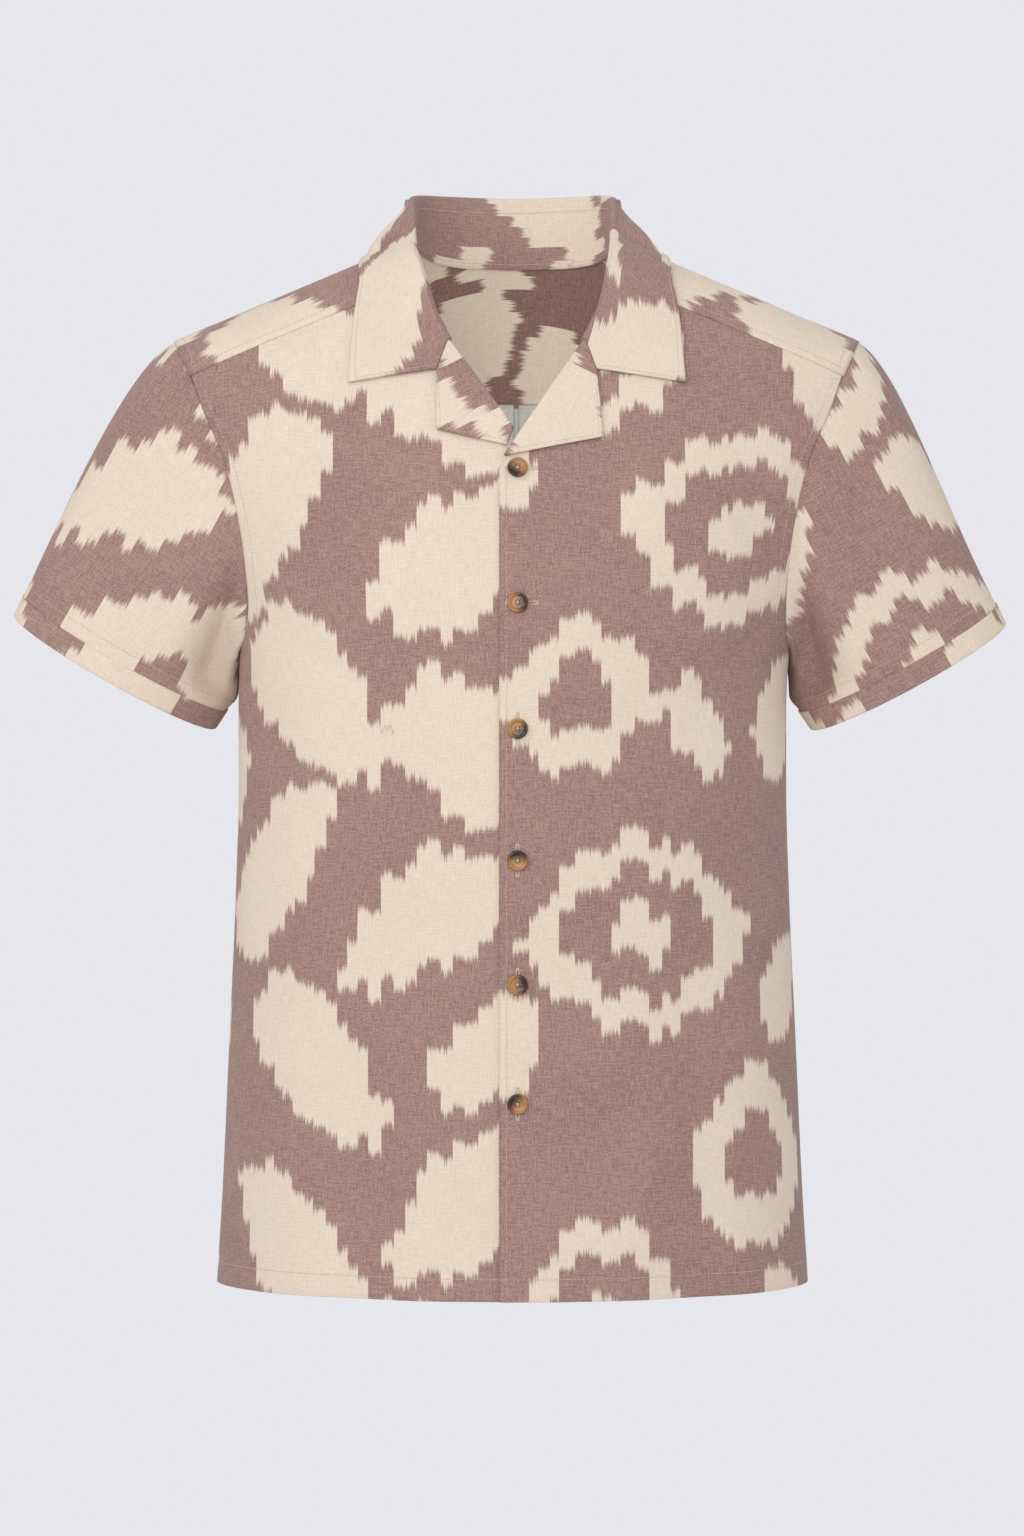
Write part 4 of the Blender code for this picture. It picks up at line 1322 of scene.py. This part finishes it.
def armhole_yoke_row(hand, t):
    """Stitches on the yoke beside the armhole seam."""
    x, root = yoke_armhole(mix(0.04, 0.97, t))
    return lift(on_shoulder((x - ARMHOLE_STITCH_IN) * SIDE_X[hand], root), YOKE_HEIGHT)


def corner_tack(hand, t):
    """Two stitches that hold the end of the front yoke seam at the armhole."""
    return lift(on_form(mix(212.0, 219.0, t) * SIDE_X[hand], YOKE_FRONT_Z - 2.0, -1), YOKE_HEIGHT)


def back_hem_row(t):
    return back_point(2 * t - 1, hem_down(BACK_ROWS, BACK_ROW_HEIGHT))


def front_hem_row(hand, t):
    return front_point(mix(0.005, 0.995, t), hem_down(FRONT_ROWS, FRONT_ROW_HEIGHT), hand)


def front_edge_row(t):
    return on_front(EDGE_X["left"] + EDGE_STITCH_IN, mix(-162.0, HEM_Z + 4.0, t), "left", FACE_HEIGHT)


def inward(point):
    """Into the neck opening, square to its wall."""
    return Vector((-point.x, 8.0 - point.y, 0.0)).normalized()


def collar_end_row(hand, t):
    """Stitches beside the front edge of the collar's leaf."""
    return collar_point(0.985 * SIDE_X[hand], mix(0.62, 0.965, t))


def sleeve_row(hand, t):
    """Stitches round the sleeve, all at one distance above its cuff band."""
    step = RING_STEPS * t
    end = sleeve_point(step, 1.0, hand)
    low, high = 0.3, 1.0
    for _ in range(9):
        middle = (low + high) / 2
        if (sleeve_point(step, middle, hand) - end).length > BAND_STITCH_UP:
            low = middle
        else:
            high = middle
    return sleeve_point(step, high, hand)


def round_band(point):
    """Away from the middle line of a sleeve."""
    centre = Vector((copysign(SLEEVE_MIDDLE[0], point.x), SLEEVE_CENTRE_Y, SLEEVE_MIDDLE[1]))
    axis = Vector((copysign(sin(SLEEVE_SLANT), point.x), 0.0, -cos(SLEEVE_SLANT)))
    away = point - centre
    return (away - axis * away.dot(axis)).normalized()


body_rows = [(yoke_back_row, outward), (back_hem_row, outward), (front_edge_row, outward)]
collar_rows = [
    (lambda t: collar_point(mix(-0.985, 0.985, t), 0.965), outward),
    (lambda t: collar_point(mix(-0.93, 0.93, t), 0.016), inward),
    (lambda t: collar_point(mix(-0.6, 0.6, t), 0.168), inward),
]
lapel_rows = []
sleeve_rows = []
for hand in ("right", "left"):
    for row in (yoke_row, armhole_row, armhole_back_row, armhole_yoke_row, front_hem_row, corner_tack):
        body_rows.append((partial(row, hand), outward))
    collar_rows.append((partial(collar_end_row, hand), outward))
    lapel_rows.append((lambda t, hand=hand: lapel_point(mix(0.25, 0.96, t), 0.955, hand), outward))
    lapel_rows.append((lambda t, hand=hand: lapel_point(0.96, mix(0.1, 0.955, t), hand), outward))
    sleeve_rows.append((partial(sleeve_row, hand), round_band))
sewn_piece("body_stitches", body_rows)
sewn_piece("collar_stitches", collar_rows, COLLAR_CLOTH)
sewn_piece("lapel_stitches", lapel_rows)
sewn_piece("sleeve_stitches", sleeve_rows)


# Buttons. Six four-hole buttons turned from horn, dark on one side and amber on the other, sewn on
# with pale thread and pushed through the buttonholes of the left front.
BUTTON_THICK = 3.0
BUTTON_X = 0.6
BUTTON_HEIGHTS = (-164.0, -254.0, -337.0, -424.0, -506.0, -585.0)
BUTTON_STEPS = 96
CAD_WALL = 1.2
SEAM_GAP = 0.36
DARK_SIDES = (130.0, 350.0, 40.0, 270.0, 0.0, 215.0)
HORN_AMBER = (0.43, 0.20, 0.060, 1.0)
HORN_DARK = (0.022, 0.012, 0.007, 1.0)
SEW_HOLE_AT = 1.25
SEW_HOLE_RADIUS = 0.62
SEW_HOLE_DEPTH = 1.3
SEW_HOLE_TURNS = (45.0, 135.0, 225.0, 315.0)
SEW_THREAD_RADIUS = 0.14
SEW_THREAD_PLACES = (-0.2, 0.0, 0.2)

# The turned section from the middle of the underside round the rim to the edge of the dish: radius
# and height. The dish itself is flat and closely stepped, so that the sewing holes can sink into it.
BUTTON_PROFILE = (
    (0.0, -1.5), (4.86, -1.5), (6.2, -0.9), (6.72, -0.15), (6.75, 0.45), (6.55, 1.1), (6.1, 1.45),
    (5.5, 1.5), (5.1, 1.3), (4.75, 0.85), (4.35, 0.66), (3.7, 0.6),
)
DISH_HEIGHT = 0.55
DISH_STEPS = 18
DISH_RADIUS = 3.1


def horn(number, centre, dark_side):
    """Polished horn that goes from near black to amber across the button, with fine streaks."""
    material, shader, start = new_material("horn_%d" % number, 0.22)
    place = start.node("ShaderNodeTexCoord", out=3)
    turn = (0.0, radians(dark_side), 0.0)
    local = start.node("ShaderNodeMapping", {"vector_type": "TEXTURE"}, Vector=place, Location=centre,
                       Rotation=turn, Scale=(MM, MM, MM))
    side = start.node("ShaderNodeSeparateXYZ", Vector=local)
    streak = start.node("ShaderNodeTexNoise", Vector=local, Scale=0.34, Detail=4.0, Distortion=0.8)
    shade = (side * 0.10 + streak - 0.06).between(0.1, 0.9)
    colour = shade.blend(HORN_AMBER, HORN_DARK)
    start.tree.links.new(colour.socket, shader.inputs["Base Color"])
    start.tree.links.new((0.18 + streak * 0.16).socket, shader.inputs["Roughness"])
    return material


def button_seat(height):
    """Centre of a button and its outward direction, in millimetres."""
    seat = lift(on_form(BUTTON_X, height, -1), OVERLAP_LIFT)
    out = outward(seat)
    return seat + out * (CAD_WALL / 2 + SEAM_GAP + BUTTON_THICK / 2), out


def sew_holes():
    """Centres of the four sewing holes in the button's own plane."""
    return [Vector((cos(radians(a)), sin(radians(a)), 0.0)) * SEW_HOLE_AT for a in SEW_HOLE_TURNS]


def turned_button(place):
    """A button as a mesh: the section spun round, with its sewing holes sunk into the dish."""
    disc = bmesh.new()
    dish = [(DISH_RADIUS * (1 - i / DISH_STEPS), DISH_HEIGHT) for i in range(DISH_STEPS + 1)]
    section = [*BUTTON_PROFILE, *dish]
    bmesh.ops.create_grid(disc, x_segments=BUTTON_STEPS, y_segments=len(section) - 1, size=0.5)
    for vertex in disc.verts:
        turn = 2 * pi * (vertex.co.x + 0.5)
        radius, height = section[round((vertex.co.y + 0.5) * (len(section) - 1))]
        vertex.co = Vector((radius * cos(turn), radius * sin(turn), height))
        if height == DISH_HEIGHT:
            near = min((vertex.co.xy - hole.xy).length for hole in sew_holes())
            vertex.co.z -= SEW_HOLE_DEPTH * (1 - smooth(SEW_HOLE_RADIUS - 0.12, SEW_HOLE_RADIUS, near))
    bmesh.ops.remove_doubles(disc, verts=disc.verts, dist=0.001)
    bmesh.ops.recalc_face_normals(disc, faces=disc.faces)
    bmesh.ops.transform(disc, matrix=Matrix.Scale(MM, 4) @ place, verts=disc.verts)
    for face in disc.faces:
        face.smooth = True
    return disc


sewing = bmesh.new()
for number, height in enumerate(BUTTON_HEIGHTS, start=1):
    centre, out = button_seat(height)
    place = Matrix.Translation(centre) @ out.to_track_quat("Z", "Y").to_matrix().to_4x4()
    button = add_object("dress_button_%d" % number, turned_button(place),
                        horn(number, centre * MM, DARK_SIDES[number - 1]))
    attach(button, "root")
    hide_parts("button_%d" % number)
    holes = sew_holes()
    for first, second in ((holes[0], holes[2]), (holes[1], holes[3])):
        beside = (second - first).normalized().cross(Vector((0, 0, 1)))
        for aside in SEW_THREAD_PLACES:
            arch = []
            for i in range(7):
                bow = DISH_HEIGHT - 0.45 + 0.85 * sin(pi * i / 6)
                arch.append(place @ (first.lerp(second, i / 6) + beside * aside + Vector((0, 0, bow))))
            for start, end in zip(arch, arch[1:]):
                add_thread(sewing, start, end, SEW_THREAD_RADIUS)
thread_object("button_thread", sewing)


# Buttonholes. Each is a slit in the left front, bound with close stitches of pale thread. The two at
# the top lie level and the others upright, and their ends show beside the buttons.
HOLE_HALF = 9.6
HOLE_WIDTH = 1.0
HOLE_STITCHES = 84
HOLE_BITE = (0.55, 1.45)
BINDING_RADIUS = 0.2
LEVEL_HOLES = 2
LEVEL_SHIFT = 2.7

binding = bmesh.new()
for number, height in enumerate(BUTTON_HEIGHTS, start=1):
    for i in range(HOLE_STITCHES):
        turn = 2 * pi * i / HOLE_STITCHES
        ends = []
        for bite in HOLE_BITE:
            long = HOLE_HALF * copysign(abs(cos(turn)) ** 0.55, cos(turn)) + cos(turn) * bite
            short = HOLE_WIDTH * copysign(abs(sin(turn)) ** 0.4, sin(turn)) * bite
            if number <= LEVEL_HOLES:
                spot = on_front(BUTTON_X + LEVEL_SHIFT + long, height + short, "left", FACE_HEIGHT)
            else:
                spot = on_front(BUTTON_X + short, height + long, "left", FACE_HEIGHT)
            ends.append(spot + outward(spot) * (CLOTH / 2 + 0.12))
        add_thread(binding, ends[0], ends[1], BINDING_RADIUS)
thread_object("buttonholes", binding)


# Studio. A round pale floor below the shirt that fades into pale grey air, and large soft lights.
FLOOR_Z = -1.32
FLOOR_RADIUS = 1.2
AIR = (0.791, 0.799, 0.839, 1.0)
AIR_LIGHT = (0.86, 0.85, 0.84, 1.0)
FLOOR_PALE = (0.80, 0.81, 0.85, 1.0)
FLOOR_SHADE = (0.76, 0.77, 0.81, 1.0)

floor_material, floor_shader, floor_start = new_material("studio_floor", 0.9)
floor_shader.inputs["Specular IOR Level"].default_value = 0.0
floor_place = floor_start.node("ShaderNodeTexCoord", out=3)
floor_grain = floor_start.node("ShaderNodeTexNoise", Vector=floor_place, Scale=60.0, Detail=2.0)
floor_colour = floor_grain.blend(FLOOR_SHADE, FLOOR_PALE)
floor_start.tree.links.new(floor_colour.socket, floor_shader.inputs["Base Color"])
floor_reach = floor_start.node("ShaderNodeVectorMath", {"operation": "LENGTH"}, out=1,
                               s0=floor_start.node("ShaderNodeVectorMath", {"operation": "MULTIPLY"},
                                                   s0=floor_place, s1=(1.0, 1.0, 0.0)))
floor_fade = 1 - floor_reach.between(FLOOR_RADIUS * 0.55, FLOOR_RADIUS * 0.98)
floor_start.tree.links.new(floor_fade.socket, floor_shader.inputs["Alpha"])

floor_sheet = bmesh.new()
bmesh.ops.create_circle(floor_sheet, cap_ends=True, segments=96, radius=FLOOR_RADIUS)
bmesh.ops.translate(floor_sheet, verts=floor_sheet.verts, vec=(0.0, 0.0, FLOOR_Z))
studio_floor = add_object("studio_floor", floor_sheet, floor_material)

# The air shows as a plain pale grey, and its light on the cloth is weaker than it looks.
world = bpy.data.worlds.new("studio_air")
world.use_nodes = True
air_tree = world.node_tree
air_shown = air_tree.nodes["Background"]
air_shown.inputs["Color"].default_value = AIR
air_lit = air_tree.nodes.new("ShaderNodeBackground")
air_lit.inputs["Color"].default_value = AIR_LIGHT
air_lit.inputs["Strength"].default_value = 0.70
air_path = air_tree.nodes.new("ShaderNodeLightPath")
air_mix = air_tree.nodes.new("ShaderNodeMixShader")
air_tree.links.new(air_path.outputs["Is Camera Ray"], air_mix.inputs[0])
air_tree.links.new(air_lit.outputs[0], air_mix.inputs[1])
air_tree.links.new(air_shown.outputs[0], air_mix.inputs[2])
air_tree.links.new(air_mix.outputs[0], air_tree.nodes["World Output"].inputs["Surface"])
bpy.context.scene.world = world

# Each light: name, place, size, power, colour and the point it looks at. The strongest one stands in
# front, above the camera. A small one inside the shirt, below the neck, lifts the shade on the inner
# yoke.
SOFT_WHITE = (1.0, 0.985, 0.965)
WARM_WHITE = (1.0, 0.96, 0.91)
CHEST = (0.0, 0.0, -0.35)
LIGHTS = (
    ("front_light", (-0.5, -3.4, 0.4), 2.0, 42.0, SOFT_WHITE, CHEST),
    ("left_light", (-2.0, -1.6, 1.2), 1.2, 14.0, SOFT_WHITE, CHEST),
    ("right_light", (2.4, -1.6, 0.2), 1.8, 6.0, SOFT_WHITE, CHEST),
    ("rear_light", (0.4, 3.0, 0.9), 2.4, 24.0, SOFT_WHITE, CHEST),
    ("neck_light", (0.0, -0.02, -0.26), 0.16, 0.16, WARM_WHITE, (0.0, 0.07, -0.08)),
)
for name, place, size, power, colour, target in LIGHTS:
    lamp = bpy.data.lights.new(name, "AREA")
    lamp.size = size
    lamp.energy = power
    lamp.color = colour
    light = bpy.data.objects.new(name, lamp)
    light.location = place
    light.rotation_euler = (Vector(target) - Vector(place)).to_track_quat("-Z", "Y").to_euler()
    light.visible_camera = False
    bpy.context.collection.objects.link(light)
